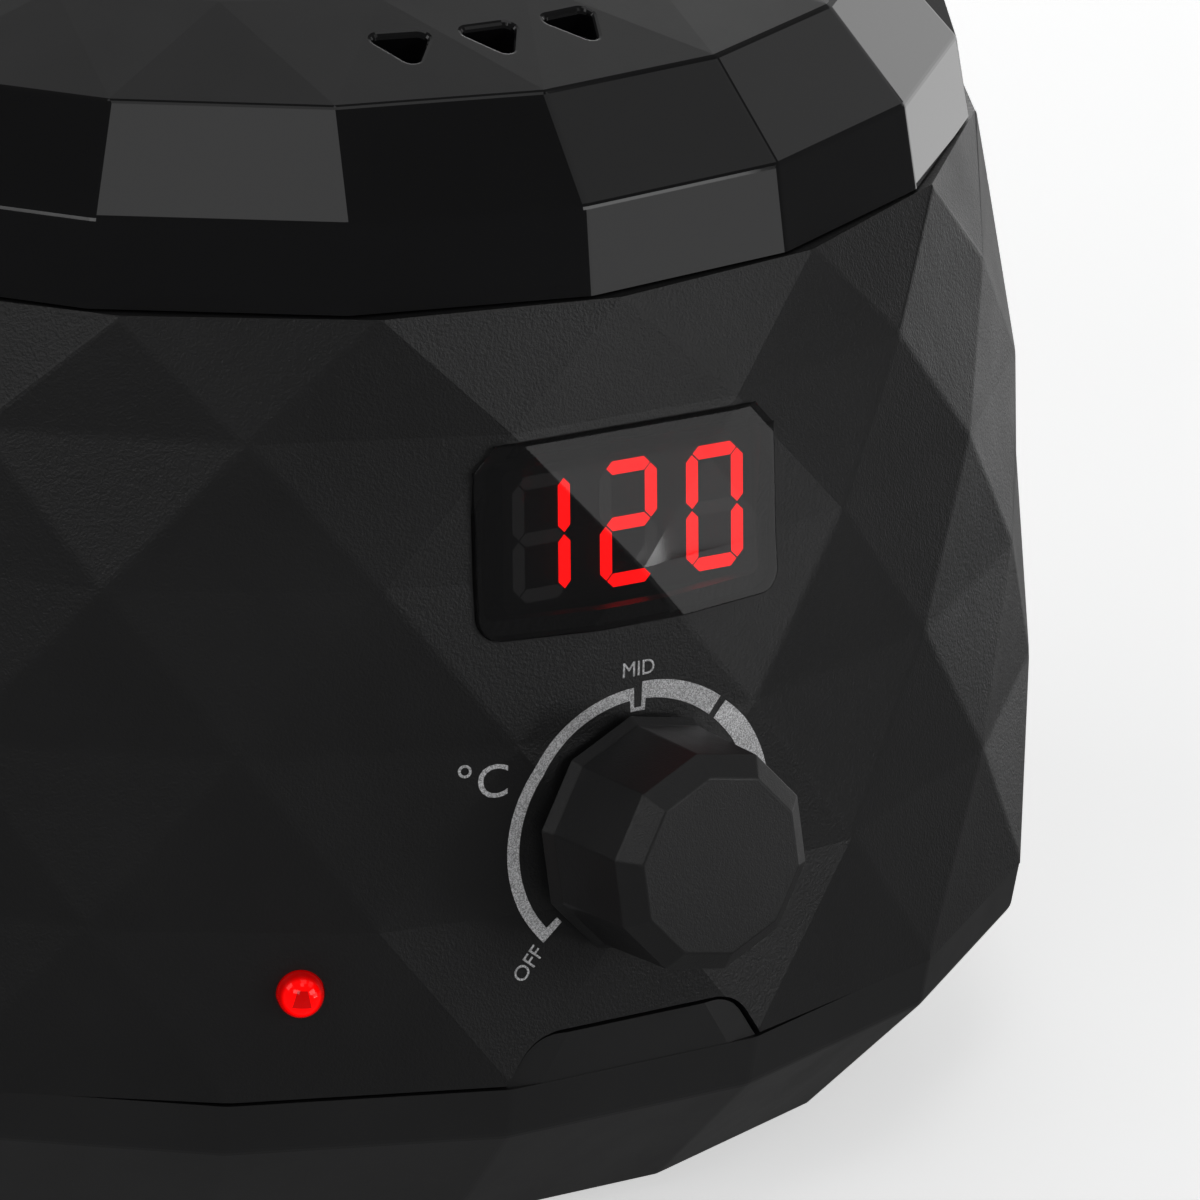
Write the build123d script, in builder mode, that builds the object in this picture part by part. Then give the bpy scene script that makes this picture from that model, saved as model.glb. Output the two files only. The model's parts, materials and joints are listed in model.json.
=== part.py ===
from build123d import *
import os
from math import atan2, cos, degrees, radians, sin

# Wax warmer: a faceted housing with a heated well, a lift-out wax pot, a lid and a front control panel.
# Millimetres, +Z up, origin on the table under the centre of the well. The front of the housing faces -Y.

os.makedirs("parts", exist_ok=True)

# ---- housing facets -------------------------------------------------------------------------------
facet_count = 20
facet_step = 360 / facet_count
body_radius = 100.0          # corner radius of the housing where it meets the base
body_height = 84.0           # from the seam to the rim
wall = 2.4
# each facet ring of the housing: share of the height, step in from body_radius, a corner at the front
body_facets = (
    (0.0, 0.0, False),
    (0.23, 1.7, True),
    (0.455, 3.5, False),
    (0.665, 5.8, True),
    (0.85, 9.1, False),
    (1.0, 12.1, True),
)

# ---- base -----------------------------------------------------------------------------------------
foot_height = 3.0
foot_radius = 7.5
foot_circle = 72.0
foot_recess = 1.0
base_slope_height = 16.0     # the sloping skirt
base_band_height = 5.8       # the upright band over it
base_floor_inset = 14.3      # floor corners, in from body_radius
base_crease_inset = 0.7      # crease corners, in from body_radius
base_floor = 2.5
seam_gap = 0.4
lip_height = 4.2
lip_thickness = 1.8
lip_clearance = 1.0
tab_half_width = 16.0
tab_top_half_width = 12.5
tab_height = 5.3
tab_corner = 5.0
tab_gap = 0.5
tab_thickness = 2.2
tab_root = 0.5
vent_count = 8
vent_length = 20.0
vent_width = 3.0
vent_circle = 34.0

# ---- fasteners ------------------------------------------------------------------------------------
hole_clearance = 0.05        # a screw's shank in the hole that it cuts its thread in
pass_clearance = 0.2         # a screw's shank through a plate
base_screw_radius = 1.7
base_screw_head = 3.2
base_screw_head_height = 2.4
base_screw_length = 22.0
base_screw_circle = 75.0
base_screw_angle = 20.0      # from the X axis, mirrored left and right, front and back
base_screw_depth = 4.0       # head recess from under the base
post_radius = 4.5
post_gap = 0.3
small_screw_radius = 1.45
small_screw_head = 2.6
small_screw_head_height = 1.6

# ---- rim, deck and well ---------------------------------------------------------------------------
ledge_drop = 5.1             # top of the ledge, under the rim
ledge_thickness = 2.7
ledge_radius = 70.0
rim_wall = 2.5
deck_clearance = 0.25
deck_thickness = 2.8
deck_screw_circle = 78.0
deck_screw_bite = 2.2
pot_radius = 57.5
pot_wall = 1.0
pot_depth = 65.0
pot_rim_radius = 64.0
pot_rim_thickness = 1.2
pot_corner = 6.0
pot_clearance = 1.5          # between the pot's side and the well
pot_lift_gap = 0.3           # under the pot's rim
pot_bottom_gap = 0.6
well_wall = 1.5
well_floor = 2.0
well_flange_radius = 72.0
well_flange_thickness = 1.5
well_clearance = 1.0         # between the well and the deck's hole
well_screw_circle = 69.0
heater_gap = 0.1
heater_thickness = 1.8
heater_height = 34.0
heater_lift = 8.0            # over the well's underside
sleeve_gap = 0.4
sleeve_thickness = 3.2
sleeve_height = 50.0
sleeve_lift = 5.0

# ---- bail handle ----------------------------------------------------------------------------------
bail_wire = 1.25             # wire radius
bail_radius = 57.0
bail_bend = 3.0
bail_height = 3.2            # wire centre over the pot's rim
bail_running = 0.08
bail_end = 1.5
ear_thickness = 1.5
ear_gap = 0.5
ear_half_width = 4.0
ear_foot = 1.0
ear_foot_reach = 1.5

# ---- lid ------------------------------------------------------------------------------------------
lid_turn = -2.2              # degrees, how the lid happens to sit on the round lip
lid_gap = 0.3
lid_wall = 2.4
# each facet ring of the lid: height over its edge, step in from the housing's rim, a corner at the front
lid_facets = (
    (0.0, 0.8, True),
    (9.3, 2.8, True),
    (19.1, 12.3, True),
    (24.3, 31.9, False),
    (31.0, 63.9, True),
)
lid_lip_clearance = 0.45
lid_lip_thickness = 2.2
lid_lip_drop = 2.1
lid_lip_overlap = 2.4
vent_hole_base = 7.4
vent_hole_height = 6.0
vent_hole_corner = 0.9
vent_hole_inset = 22.4       # centre of a steam vent, in from the housing's rim
vent_hole_pitch = 9.4        # degrees
lid_knob_base = 12.0
lid_knob_waist = 10.0
lid_knob_top = 15.5
lid_knob_waist_height = 4.0
lid_knob_side_height = 13.0
lid_knob_crown = 3.5
lid_knob_crown_radius = 10.0
lid_knob_sides = 10
lid_screw_radius = 2.0
lid_screw_head = 4.0
lid_screw_head_height = 2.4
lid_screw_bite = 10.0

# ---- display --------------------------------------------------------------------------------------
lens_width = 38.0
lens_height = 20.8
lens_corner = 2.6
lens_proud = 0.7
lens_pocket = 1.2
lens_clearance = 0.12
lens_over_seam = 60.0        # centre of the lens
window_border = 1.6
module_width = 37.6
module_height = 19.0
module_depth = 8.0

# ---- control panel --------------------------------------------------------------------------------
knob_over_seam = 26.6        # knob axis on the panel
knob_gap = 0.5
knob_sides = 10
knob_rest_turn = 25.8
# knob stations: height, corner radius
knob_stations = ((0.0, 13.4), (1.4, 12.65), (12.7, 12.3), (14.7, 10.0))
knob_hollow_radius = 10.4
knob_hollow_depth = 8.0
knob_hub_radius = 5.0
knob_hub_lift = 1.5          # hub's rear face over the knob's rear face
shaft_radius = 3.0
shaft_running = 0.06
shaft_flat = 1.5             # depth of the flat on the shaft
shaft_length = 19.8
shaft_sunk = 9.0             # shaft's inner end, behind the panel
bushing_radius = shaft_radius + 0.5
bushing_clearance = 0.1
bushing_tip = 1.6
seat_sunk = 1.5              # flat seat under the nut
seat_radius = 7.5
seat_thickness = 3.0
seat_boss_radius = 11.0
washer_thickness = 0.5
washer_radius = 6.0
nut_thickness = 2.0
nut_corner = 5.6
sensor_can_radius = 8.2
sensor_can_depth = 9.5
module_sunk = 7.4            # display module's face, behind the panel
board_width = 52.0
board_low = 14.0             # board's lower edge, under the knob axis
board_high = 45.0            # board's upper edge, over the knob axis
board_thickness = 1.6
board_screw_side = 22.0
board_screw_low = 10.5
board_screw_high = 41.5
board_post_radius = 3.0
board_screw_bite = 5.0

# ---- indicator light ------------------------------------------------------------------------------
led_side = 7.4               # along the facet from its middle line
led_rise = 12.5              # up the facet from its lower corner
led_radius = 2.5
led_proud = 2.8
led_clearance = 0.1
led_flange = 2.9
led_flange_thickness = 1.0
led_flange_gap = 0.8
led_length = 8.6
led_lead = 10.0

# ---- supply side ----------------------------------------------------------------------------------
gland_over_seam = 15.5
gland_bore = 3.5
gland_thread = 6.0
gland_hex = 8.4
gland_hex_length = 4.0
gland_nut_length = 10.6
gland_nut_radius = 7.0
gland_inside = 7.5
gland_pad_radius = 9.6
gland_pad_proud = 0.4
gland_pad_depth = 5.0
locknut_thickness = 3.0
supply_board_width = 70.0
supply_board_length = 50.0
supply_board_back = 18.0     # board's centre, behind the well's axis
supply_board_lift = 6.5      # over the base's floor
supply_post_inset = 4.5

# ---- heights --------------------------------------------------------------------------------------
base_bottom = foot_height
base_crease = base_bottom + base_slope_height
seam = base_crease + base_band_height
rim = seam + body_height
rim_radius = body_radius - body_facets[-1][1]
ledge_top = rim - ledge_drop
ledge_bottom = ledge_top - ledge_thickness
deck_top = ledge_top + deck_thickness
flange_top = deck_top + well_flange_thickness
pot_rim_bottom = flange_top + pot_lift_gap
pot_rim_top = pot_rim_bottom + pot_rim_thickness
pot_bottom = pot_rim_top - pot_depth
well_radius = pot_radius + pot_clearance
well_outer = well_radius + well_wall
well_inside = pot_bottom - pot_bottom_gap
well_bottom = well_inside - well_floor
lid_edge = rim + lid_gap
apothem = cos(radians(facet_step / 2))
front_length = body_radius + 20.0
front_depth = 30.0
window_depth = 35.0          # the display's window goes through the receding side facets too


def corner(radius, height, azimuth):
    """Point at a radius and an azimuth from the front (-Y), positive towards +X."""
    a = radians(azimuth)
    return Vector(radius * sin(a), -radius * cos(a), height)


def ring_corners(radius, height, at_front, turn):
    """The corners of one facet ring. at_front rings have a corner facing the front."""
    first = turn + (0 if at_front else facet_step / 2)
    return [corner(radius, height, first + k * facet_step) for k in range(facet_count)]


def faceted_solid(rings, turn=0.0):
    """Closed solid through facet rings given as (radius, height, at_front), lowest first."""
    loops = [ring_corners(radius, height, at_front, turn) for radius, height, at_front in rings]
    faces = [Face(Wire.make_polygon(loops[0])), Face(Wire.make_polygon(loops[-1]))]
    for level in range(len(rings) - 1):
        low, high = loops[level], loops[level + 1]
        for k in range(facet_count):
            n = (k + 1) % facet_count
            if rings[level][2] == rings[level + 1][2]:
                outlines = [(low[k], low[n], high[n], high[k])]
            elif rings[level][2]:
                outlines = [(low[k], low[n], high[k]), (high[k], low[n], high[n])]
            else:
                outlines = [(low[k], low[n], high[n]), (low[k], high[n], high[k])]
            faces += [Face(Wire.make_polygon(outline)) for outline in outlines]
    return Solid(Shell(faces))


def body_rings(step_in=0.0, bottom=seam):
    """The housing's facet rings, stepped in by a wall or out by a negative step."""
    rings = [(body_radius - inset - step_in, seam + share * body_height, at_front)
             for share, inset, at_front in body_facets]
    rings[0] = (rings[0][0], bottom, rings[0][2])
    return rings


def radius_at(height):
    """Corner radius of the housing at a height between the two top rings."""
    (low_share, low_inset, _), (high_share, high_inset, _) = body_facets[-2:]
    share = (height - seam) / body_height
    part = (share - low_share) / (high_share - low_share)
    return body_radius - low_inset - part * (high_inset - low_inset)


def tab_outline():
    """Front tab of the base, in the XZ plane, from the seam up."""
    with BuildSketch(mode=Mode.PRIVATE) as outline:
        with BuildLine():
            Polyline((-tab_half_width, seam - tab_root), (-tab_half_width, seam),
                     (-tab_top_half_width, seam + tab_height), (tab_top_half_width, seam + tab_height),
                     (tab_half_width, seam), (tab_half_width, seam - tab_root), close=True)
        make_face()
        top = outline.vertices().group_by(Axis.Y)[-1]
        fillet(top, tab_corner)
    return outline.sketch


def cup_half(radius, bottom, top, corner_radius):
    """Half section of a round cup, with a rounded corner at the foot of its side."""
    with BuildSketch(mode=Mode.PRIVATE) as half:
        with Locations((0, bottom)):
            Rectangle(radius, top - bottom, align=(Align.MIN, Align.MIN))
        foot = half.vertices().sort_by(Axis.Y)[:2].sort_by(Axis.X)[-1]
        fillet(foot, corner_radius)
    return half.sketch


def quad_points(x, y):
    """Four points mirrored left and right, front and back."""
    return [(x, y), (-x, y), (x, -y), (-x, -y)]


def finish(piece, name):
    piece.part.label = name
    export_step(piece.part, f"parts/{name}.step")


# ---- planes ---------------------------------------------------------------------------------------
front_plane = Plane(origin=(0, 0, 0), x_dir=(1, 0, 0), z_dir=(0, -1, 0))
panel_top_radius = body_radius - body_facets[3][1]
panel_low_radius = body_radius - body_facets[1][1]
panel_rise = (body_facets[3][0] - body_facets[1][0]) * body_height
panel_tilt = atan2(panel_low_radius - panel_top_radius, panel_rise)
panel_z = seam + knob_over_seam
panel_y = panel_low_radius - (panel_z - seam - body_facets[1][0] * body_height) * sin(panel_tilt) / cos(panel_tilt)
panel = Plane(origin=(0, -panel_y, panel_z), x_dir=(1, 0, 0), z_dir=(0, -cos(panel_tilt), sin(panel_tilt)))

led_azimuth = -1.5 * facet_step
led_facet_top = (body_radius - body_facets[1][1]) * apothem
led_tilt = atan2(body_radius - led_facet_top, body_facets[1][0] * body_height)
led_plane = Plane(
    origin=corner(body_radius, seam, led_azimuth),
    x_dir=(cos(radians(led_azimuth)), sin(radians(led_azimuth)), 0),
    z_dir=corner(cos(led_tilt), sin(led_tilt), led_azimuth),
)
gland_plane = Plane(origin=(0, body_radius * apothem, seam + gland_over_seam), x_dir=(-1, 0, 0), z_dir=(0, 1, 0))

lens_z = seam + lens_over_seam
board_face = module_sunk + module_depth
board_screw_points = [(x, y) for x in (-board_screw_side, board_screw_side)
                      for y in (-board_screw_low, board_screw_high)]
base_screw_x = base_screw_circle * cos(radians(base_screw_angle))
base_screw_y = base_screw_circle * sin(radians(base_screw_angle))
foot_offset = foot_circle * cos(radians(45))
supply_floor = base_bottom + base_floor
supply_top = supply_floor + supply_board_lift
supply_points = quad_points(supply_board_width / 2 - supply_post_inset, supply_board_length / 2 - supply_post_inset)

# ---- base shell -----------------------------------------------------------------------------------
with BuildPart() as front_tab:
    with BuildSketch(front_plane.offset(front_length - front_depth)):
        add(tab_outline())
    extrude(amount=front_depth)
    add(faceted_solid(body_rings(bottom=base_crease)), mode=Mode.INTERSECT)
    add(faceted_solid(body_rings(tab_thickness, base_bottom)), mode=Mode.SUBTRACT)

base_rings = (
    (body_radius - base_floor_inset, base_bottom, False),
    (body_radius - base_crease_inset, base_crease, False),
    (body_radius, seam, False),
)
lip_outer = body_radius - wall - lip_clearance
lip_inner = lip_outer - lip_thickness
base_inner_floor = body_radius - base_floor_inset - base_floor / 3
with BuildPart() as base_shell:
    add(faceted_solid(base_rings))
    with BuildSketch(Plane.XY.offset(seam)):
        RegularPolygon(lip_outer, facet_count, rotation=facet_step / 2)
    extrude(amount=lip_height)
    add(faceted_solid((
        (base_inner_floor, supply_floor, False),
        (lip_inner - 0.5, base_crease, False),
        (lip_inner, seam + lip_height + 1, False),
    )), mode=Mode.SUBTRACT)
    add(front_tab.part)
    # posts for the base screws and for the supply board
    with BuildSketch(Plane.XY.offset(supply_floor)):
        with Locations(quad_points(base_screw_x, base_screw_y)):
            Circle(post_radius + 0.5)
    extrude(amount=base_crease - supply_floor + 1)
    with BuildSketch(Plane.XY.offset(supply_floor)):
        with Locations((0, supply_board_back)):
            with Locations(supply_points):
                Circle(board_post_radius)
    extrude(amount=supply_board_lift)
    with Locations(Plane.XY.offset(base_bottom)):
        with Locations(quad_points(base_screw_x, base_screw_y)):
            Cylinder(base_screw_radius + pass_clearance, 60, mode=Mode.SUBTRACT)
            Cylinder(base_screw_head + pass_clearance, base_screw_depth, mode=Mode.SUBTRACT,
                     align=(Align.CENTER, Align.CENTER, Align.MIN))
        with Locations(quad_points(foot_offset, foot_offset)):
            Cylinder(foot_radius + pass_clearance, foot_recess, mode=Mode.SUBTRACT,
                     align=(Align.CENTER, Align.CENTER, Align.MIN))
        with PolarLocations(vent_circle, vent_count, start_angle=facet_step / 2):
            Box(vent_length, vent_width, 3 * base_floor, mode=Mode.SUBTRACT)
    with BuildSketch(Plane.XY.offset(supply_top)):
        with Locations((0, supply_board_back)):
            with Locations(supply_points):
                Circle(small_screw_radius + hole_clearance)
    extrude(amount=-supply_board_lift, mode=Mode.SUBTRACT)
finish(base_shell, "base_shell")

with BuildPart() as rubber_feet:
    with BuildSketch():
        with Locations(quad_points(foot_offset, foot_offset)):
            Circle(foot_radius)
    extrude(amount=foot_height + foot_recess)
    fillet(rubber_feet.edges().group_by(Axis.Z)[0], 1.0)
finish(rubber_feet, "rubber_feet")

# ---- housing shell --------------------------------------------------------------------------------
with BuildPart() as lens_pocket_cut:
    with BuildSketch(front_plane.offset(front_length - front_depth)):
        with Locations((0, lens_z)):
            RectangleRounded(lens_width + 2 * lens_clearance, lens_height + 2 * lens_clearance,
                             lens_corner + lens_clearance)
    extrude(amount=front_depth)
    add(faceted_solid(body_rings(lens_pocket)), mode=Mode.SUBTRACT)

with BuildPart() as inner_posts:
    # bosses for the control board, and the thick seat of the rotary sensor, trimmed inside the wall
    with BuildSketch(panel.offset(-board_face)):
        with Locations(board_screw_points):
            Circle(board_post_radius)
    extrude(amount=board_face)
    with BuildSketch(panel.offset(-seat_sunk - seat_thickness)):
        Circle(seat_boss_radius)
    extrude(amount=seat_sunk + seat_thickness)
    add(faceted_solid(body_rings(wall / 2)), mode=Mode.INTERSECT)

cavity_rings = body_rings(wall, seam - 1)[:-1]
cavity_rings.append((radius_at(ledge_bottom) - wall, ledge_bottom, True))
pocket_radius = rim_radius - rim_wall
deck_radius = pocket_radius - deck_clearance
with BuildPart() as body_shell:
    add(faceted_solid(body_rings(bottom=seam + seam_gap)))
    add(faceted_solid(cavity_rings), mode=Mode.SUBTRACT)
    with BuildSketch(Plane.XY.offset(ledge_top)):
        RegularPolygon(pocket_radius, facet_count)
    extrude(amount=ledge_drop + 1, mode=Mode.SUBTRACT)
    with BuildSketch(Plane.XY.offset(ledge_bottom - 1)):
        Circle(ledge_radius)
    extrude(amount=ledge_thickness + 2, mode=Mode.SUBTRACT)
    # long posts down to the base screws
    with BuildSketch(Plane.XY.offset(base_crease + 1 + post_gap)):
        with Locations(quad_points(base_screw_x, base_screw_y)):
            Circle(post_radius)
    extrude(until=Until.NEXT)
    add(inner_posts.part)
    # flat pad for the cord gland
    with BuildSketch(gland_plane.offset(gland_pad_proud)):
        Circle(gland_pad_radius)
    extrude(amount=-gland_pad_depth)
    # openings: display, tab, indicator, rotary sensor, gland, screws
    add(lens_pocket_cut.part, mode=Mode.SUBTRACT)
    with BuildSketch(front_plane.offset(front_length - window_depth)):
        with Locations((0, lens_z)):
            RectangleRounded(lens_width - 2 * window_border, lens_height - 2 * window_border, 1.0)
    extrude(amount=window_depth, mode=Mode.SUBTRACT)
    with BuildSketch(front_plane.offset(front_length - front_depth)):
        add(tab_outline())
        offset(amount=tab_gap, kind=Kind.ARC)
    extrude(amount=front_depth, mode=Mode.SUBTRACT)
    with BuildSketch(led_plane):
        with Locations((led_side, led_rise)):
            Circle(led_radius + led_clearance)
    extrude(amount=wall * 2, both=True, mode=Mode.SUBTRACT)
    with BuildSketch(panel.offset(-seat_sunk)):
        Circle(seat_radius)
    extrude(amount=seat_sunk + 1, mode=Mode.SUBTRACT)
    with BuildSketch(panel):
        Circle(bushing_radius + bushing_clearance)
    extrude(amount=-front_depth / 2, mode=Mode.SUBTRACT)
    with BuildSketch(gland_plane):
        Circle(gland_thread + pass_clearance)
    extrude(amount=2 * gland_pad_depth, both=True, mode=Mode.SUBTRACT)
    with BuildSketch(panel.offset(-board_face)):
        with Locations(board_screw_points):
            Circle(small_screw_radius + hole_clearance)
    extrude(amount=board_screw_bite, mode=Mode.SUBTRACT)
    with BuildSketch(Plane.XY.offset(base_crease)):
        with Locations(quad_points(base_screw_x, base_screw_y)):
            Circle(base_screw_radius + hole_clearance)
    extrude(amount=base_screw_length, mode=Mode.SUBTRACT)
    with BuildSketch(Plane.XY.offset(ledge_top)):
        with PolarLocations(deck_screw_circle, 4, start_angle=45):
            Circle(small_screw_radius + hole_clearance)
    extrude(amount=-deck_screw_bite, mode=Mode.SUBTRACT)
finish(body_shell, "body_shell")

with BuildPart() as base_screws:
    head_top = base_bottom + base_screw_depth
    with BuildSketch(Plane.XY.offset(head_top)):
        with Locations(quad_points(base_screw_x, base_screw_y)):
            Circle(base_screw_radius)
    extrude(amount=base_screw_length)
    with BuildSketch(Plane.XY.offset(head_top)):
        with Locations(quad_points(base_screw_x, base_screw_y)):
            Circle(base_screw_head)
    extrude(amount=-base_screw_head_height)
    with BuildSketch(Plane.XY.offset(head_top - base_screw_head_height)):
        with Locations(quad_points(base_screw_x, base_screw_y)):
            Rectangle(3.6, 0.9)
            Rectangle(0.9, 3.6)
    extrude(amount=1.2, mode=Mode.SUBTRACT)
finish(base_screws, "base_screws")

# ---- deck, well and heater ------------------------------------------------------------------------
with BuildPart() as deck_ring:
    with BuildSketch(Plane.XY.offset(ledge_top)):
        RegularPolygon(deck_radius, facet_count)
        Circle(well_outer + well_clearance, mode=Mode.SUBTRACT)
        with PolarLocations(deck_screw_circle, 4, start_angle=45):
            Circle(small_screw_radius + pass_clearance, mode=Mode.SUBTRACT)
        with PolarLocations(well_screw_circle, 3, start_angle=30):
            Circle(small_screw_radius + hole_clearance, mode=Mode.SUBTRACT)
    extrude(amount=deck_thickness)
finish(deck_ring, "deck_ring")

with BuildPart() as deck_screws:
    with BuildSketch(Plane.XY.offset(deck_top)):
        with PolarLocations(deck_screw_circle, 4, start_angle=45):
            Circle(small_screw_radius)
    extrude(amount=-deck_thickness - deck_screw_bite)
    with BuildSketch(Plane.XY.offset(deck_top)):
        with PolarLocations(deck_screw_circle, 4, start_angle=45):
            Circle(small_screw_head)
    extrude(amount=small_screw_head_height)
    fillet(deck_screws.edges().group_by(Axis.Z)[-1], 0.8)
finish(deck_screws, "deck_screws")

with BuildPart() as heating_well:
    with BuildSketch(Plane.XZ):
        add(cup_half(well_outer, well_bottom, flange_top, pot_corner + well_wall))
        with Locations((0, deck_top)):
            Rectangle(well_flange_radius, well_flange_thickness, align=(Align.MIN, Align.MIN))
        add(cup_half(well_radius, well_inside, flange_top + 1, pot_corner), mode=Mode.SUBTRACT)
    revolve(axis=Axis.Z)
    with BuildSketch(Plane.XY.offset(deck_top)):
        with PolarLocations(well_screw_circle, 3, start_angle=30):
            Circle(small_screw_radius + pass_clearance)
    extrude(amount=well_flange_thickness, mode=Mode.SUBTRACT)
finish(heating_well, "heating_well")

with BuildPart() as well_screws:
    with BuildSketch(Plane.XY.offset(flange_top)):
        with PolarLocations(well_screw_circle, 3, start_angle=30):
            Circle(small_screw_radius)
    extrude(amount=-well_flange_thickness - deck_thickness + pass_clearance)
    with BuildSketch(Plane.XY.offset(flange_top)):
        with PolarLocations(well_screw_circle, 3, start_angle=30):
            Circle(small_screw_head)
    extrude(amount=small_screw_head_height)
    fillet(well_screws.edges().group_by(Axis.Z)[-1], 0.8)
finish(well_screws, "well_screws")

heater_inner = well_outer + heater_gap
heater_outer = heater_inner + heater_thickness
with BuildPart() as heater_band:
    with BuildSketch(Plane.XY.offset(well_bottom + heater_lift)):
        Circle(heater_outer)
        Circle(heater_inner, mode=Mode.SUBTRACT)
        with Locations((0, heater_inner)):
            Rectangle(4, 8, mode=Mode.SUBTRACT)
    extrude(amount=heater_height)
finish(heater_band, "heater_band")

sleeve_inner = heater_outer + sleeve_gap
with BuildPart() as insulation_sleeve:
    with BuildSketch(Plane.XY.offset(well_bottom + sleeve_lift)):
        Circle(sleeve_inner + sleeve_thickness)
        Circle(sleeve_inner, mode=Mode.SUBTRACT)
    extrude(amount=sleeve_height)
finish(insulation_sleeve, "insulation_sleeve")


def clipped_probe(name, clip_name, side, probe_radius, probe_length):
    """A round probe held under the well by a bent strip."""
    with BuildPart() as probe:
        with Locations(Plane(origin=(side, 0, well_bottom - probe_radius), z_dir=(0, 1, 0))):
            Cylinder(probe_radius, probe_length)
    finish(probe, name)
    strip = 0.8
    with BuildPart() as clip:
        with Locations((side, 0, well_bottom)):
            Box(4 * probe_radius + 8, 6, 2 * probe_radius + strip, align=(Align.CENTER, Align.CENTER, Align.MAX))
        with Locations((side, 0, well_bottom)):
            Box(2 * probe_radius + 0.2, 6, 2 * probe_radius, align=(Align.CENTER, Align.CENTER, Align.MAX),
                mode=Mode.SUBTRACT)
        for way in (-1, 1):
            with Locations((side + way * (3 * probe_radius + 4), 0, well_bottom - strip)):
                Box(4 * probe_radius + 6 - 2 * strip, 6, 4 * probe_radius,
                    align=(Align.CENTER, Align.CENTER, Align.MAX), mode=Mode.SUBTRACT)
    finish(clip, clip_name)


clipped_probe("temperature_probe", "probe_clip", 20.0, 2.0, 12.0)
clipped_probe("thermal_fuse", "fuse_clip", -20.0, 2.0, 14.0)

# ---- wax pot and bail -----------------------------------------------------------------------------
with BuildPart() as wax_pot:
    with BuildSketch(Plane.XZ):
        add(cup_half(pot_radius, pot_bottom, pot_rim_top, pot_corner))
        with Locations((0, pot_rim_bottom)):
            Rectangle(pot_rim_radius, pot_rim_thickness, align=(Align.MIN, Align.MIN))
        add(cup_half(pot_radius - pot_wall, pot_bottom + pot_wall, pot_rim_top + 1, pot_corner - pot_wall),
            mode=Mode.SUBTRACT)
    revolve(axis=Axis.Z)
finish(wax_pot, "wax_pot")

bail_z = pot_rim_top + bail_height
ear_inside = bail_radius + bail_bend + ear_gap
ear_top = bail_height + bail_wire + 1.5
with BuildPart() as handle_ears:
    for way in (-1, 1):
        with Locations((way * (ear_inside + ear_thickness / 2), 0, pot_rim_top)):
            Box(ear_thickness, 2 * ear_half_width, ear_top, align=(Align.CENTER, Align.CENTER, Align.MIN))
            Box(ear_thickness + 2 * ear_foot_reach, 2 * ear_half_width, ear_foot,
                align=(Align.CENTER, Align.CENTER, Align.MIN))
    with Locations(Plane(origin=(0, 0, bail_z), z_dir=(1, 0, 0))):
        Cylinder(bail_wire + bail_running, 4 * bail_radius, mode=Mode.SUBTRACT)
finish(handle_ears, "handle_ears")

with BuildPart() as pot_handle:
    with BuildLine(Plane.XY.offset(bail_z)):
        stub = Line((ear_inside + ear_thickness + bail_end, 0), (bail_radius + bail_bend, 0))
        bend_in = JernArc(start=stub @ 1, tangent=stub % 1, radius=bail_bend, arc_size=-90)
        bow = JernArc(start=bend_in @ 1, tangent=bend_in % 1, radius=bail_radius, arc_size=180)
        bend_out = JernArc(start=bow @ 1, tangent=bow % 1, radius=bail_bend, arc_size=-90)
        Line(bend_out @ 1, (-ear_inside - ear_thickness - bail_end, 0))
    with BuildSketch(Plane(origin=(ear_inside + ear_thickness + bail_end, 0, bail_z), z_dir=(-1, 0, 0))):
        Circle(bail_wire)
    sweep()
finish(pot_handle, "pot_handle")

# ---- lid ------------------------------------------------------------------------------------------
lid_rings = [(rim_radius - inset, lid_edge + height, at_front) for height, inset, at_front in lid_facets]
lid_cavity = [(radius - lid_wall, height - lid_wall, at_front) for radius, height, at_front in lid_rings]
lid_top = lid_rings[-1][1]
lip_radius = pocket_radius * apothem - lid_lip_clearance
with BuildPart() as lid_shell:
    add(faceted_solid(lid_rings, lid_turn))
    add(faceted_solid(lid_cavity, lid_turn), mode=Mode.SUBTRACT)
    with BuildSketch(Plane.XY.offset(lid_edge - lid_lip_drop)):
        Circle(lip_radius)
        Circle(lip_radius - lid_lip_thickness, mode=Mode.SUBTRACT)
    extrude(amount=lid_lip_drop + lid_lip_overlap)
    # steam vents, three at the front and three at the back
    with BuildSketch(Plane.XY.offset(lid_edge)) as steam_vents:
        for k in (-1, 0, 1):
            for side in (0, 180):
                azimuth = side + lid_turn + k * vent_hole_pitch
                spot = corner(rim_radius - vent_hole_inset, 0, azimuth)
                with Locations(Location((spot.X, spot.Y, 0), (0, 0, azimuth))):
                    Polygon((-vent_hole_base / 2, vent_hole_height / 2), (0, -vent_hole_height / 2),
                            (vent_hole_base / 2, vent_hole_height / 2), align=None)
        fillet(steam_vents.vertices(), vent_hole_corner)
    extrude(amount=lid_top - lid_edge, mode=Mode.SUBTRACT)
    with BuildSketch(Plane.XY.offset(lid_top)):
        Circle(lid_screw_radius + pass_clearance)
    extrude(amount=-2 * lid_wall, mode=Mode.SUBTRACT)
finish(lid_shell, "lid_shell")

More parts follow.
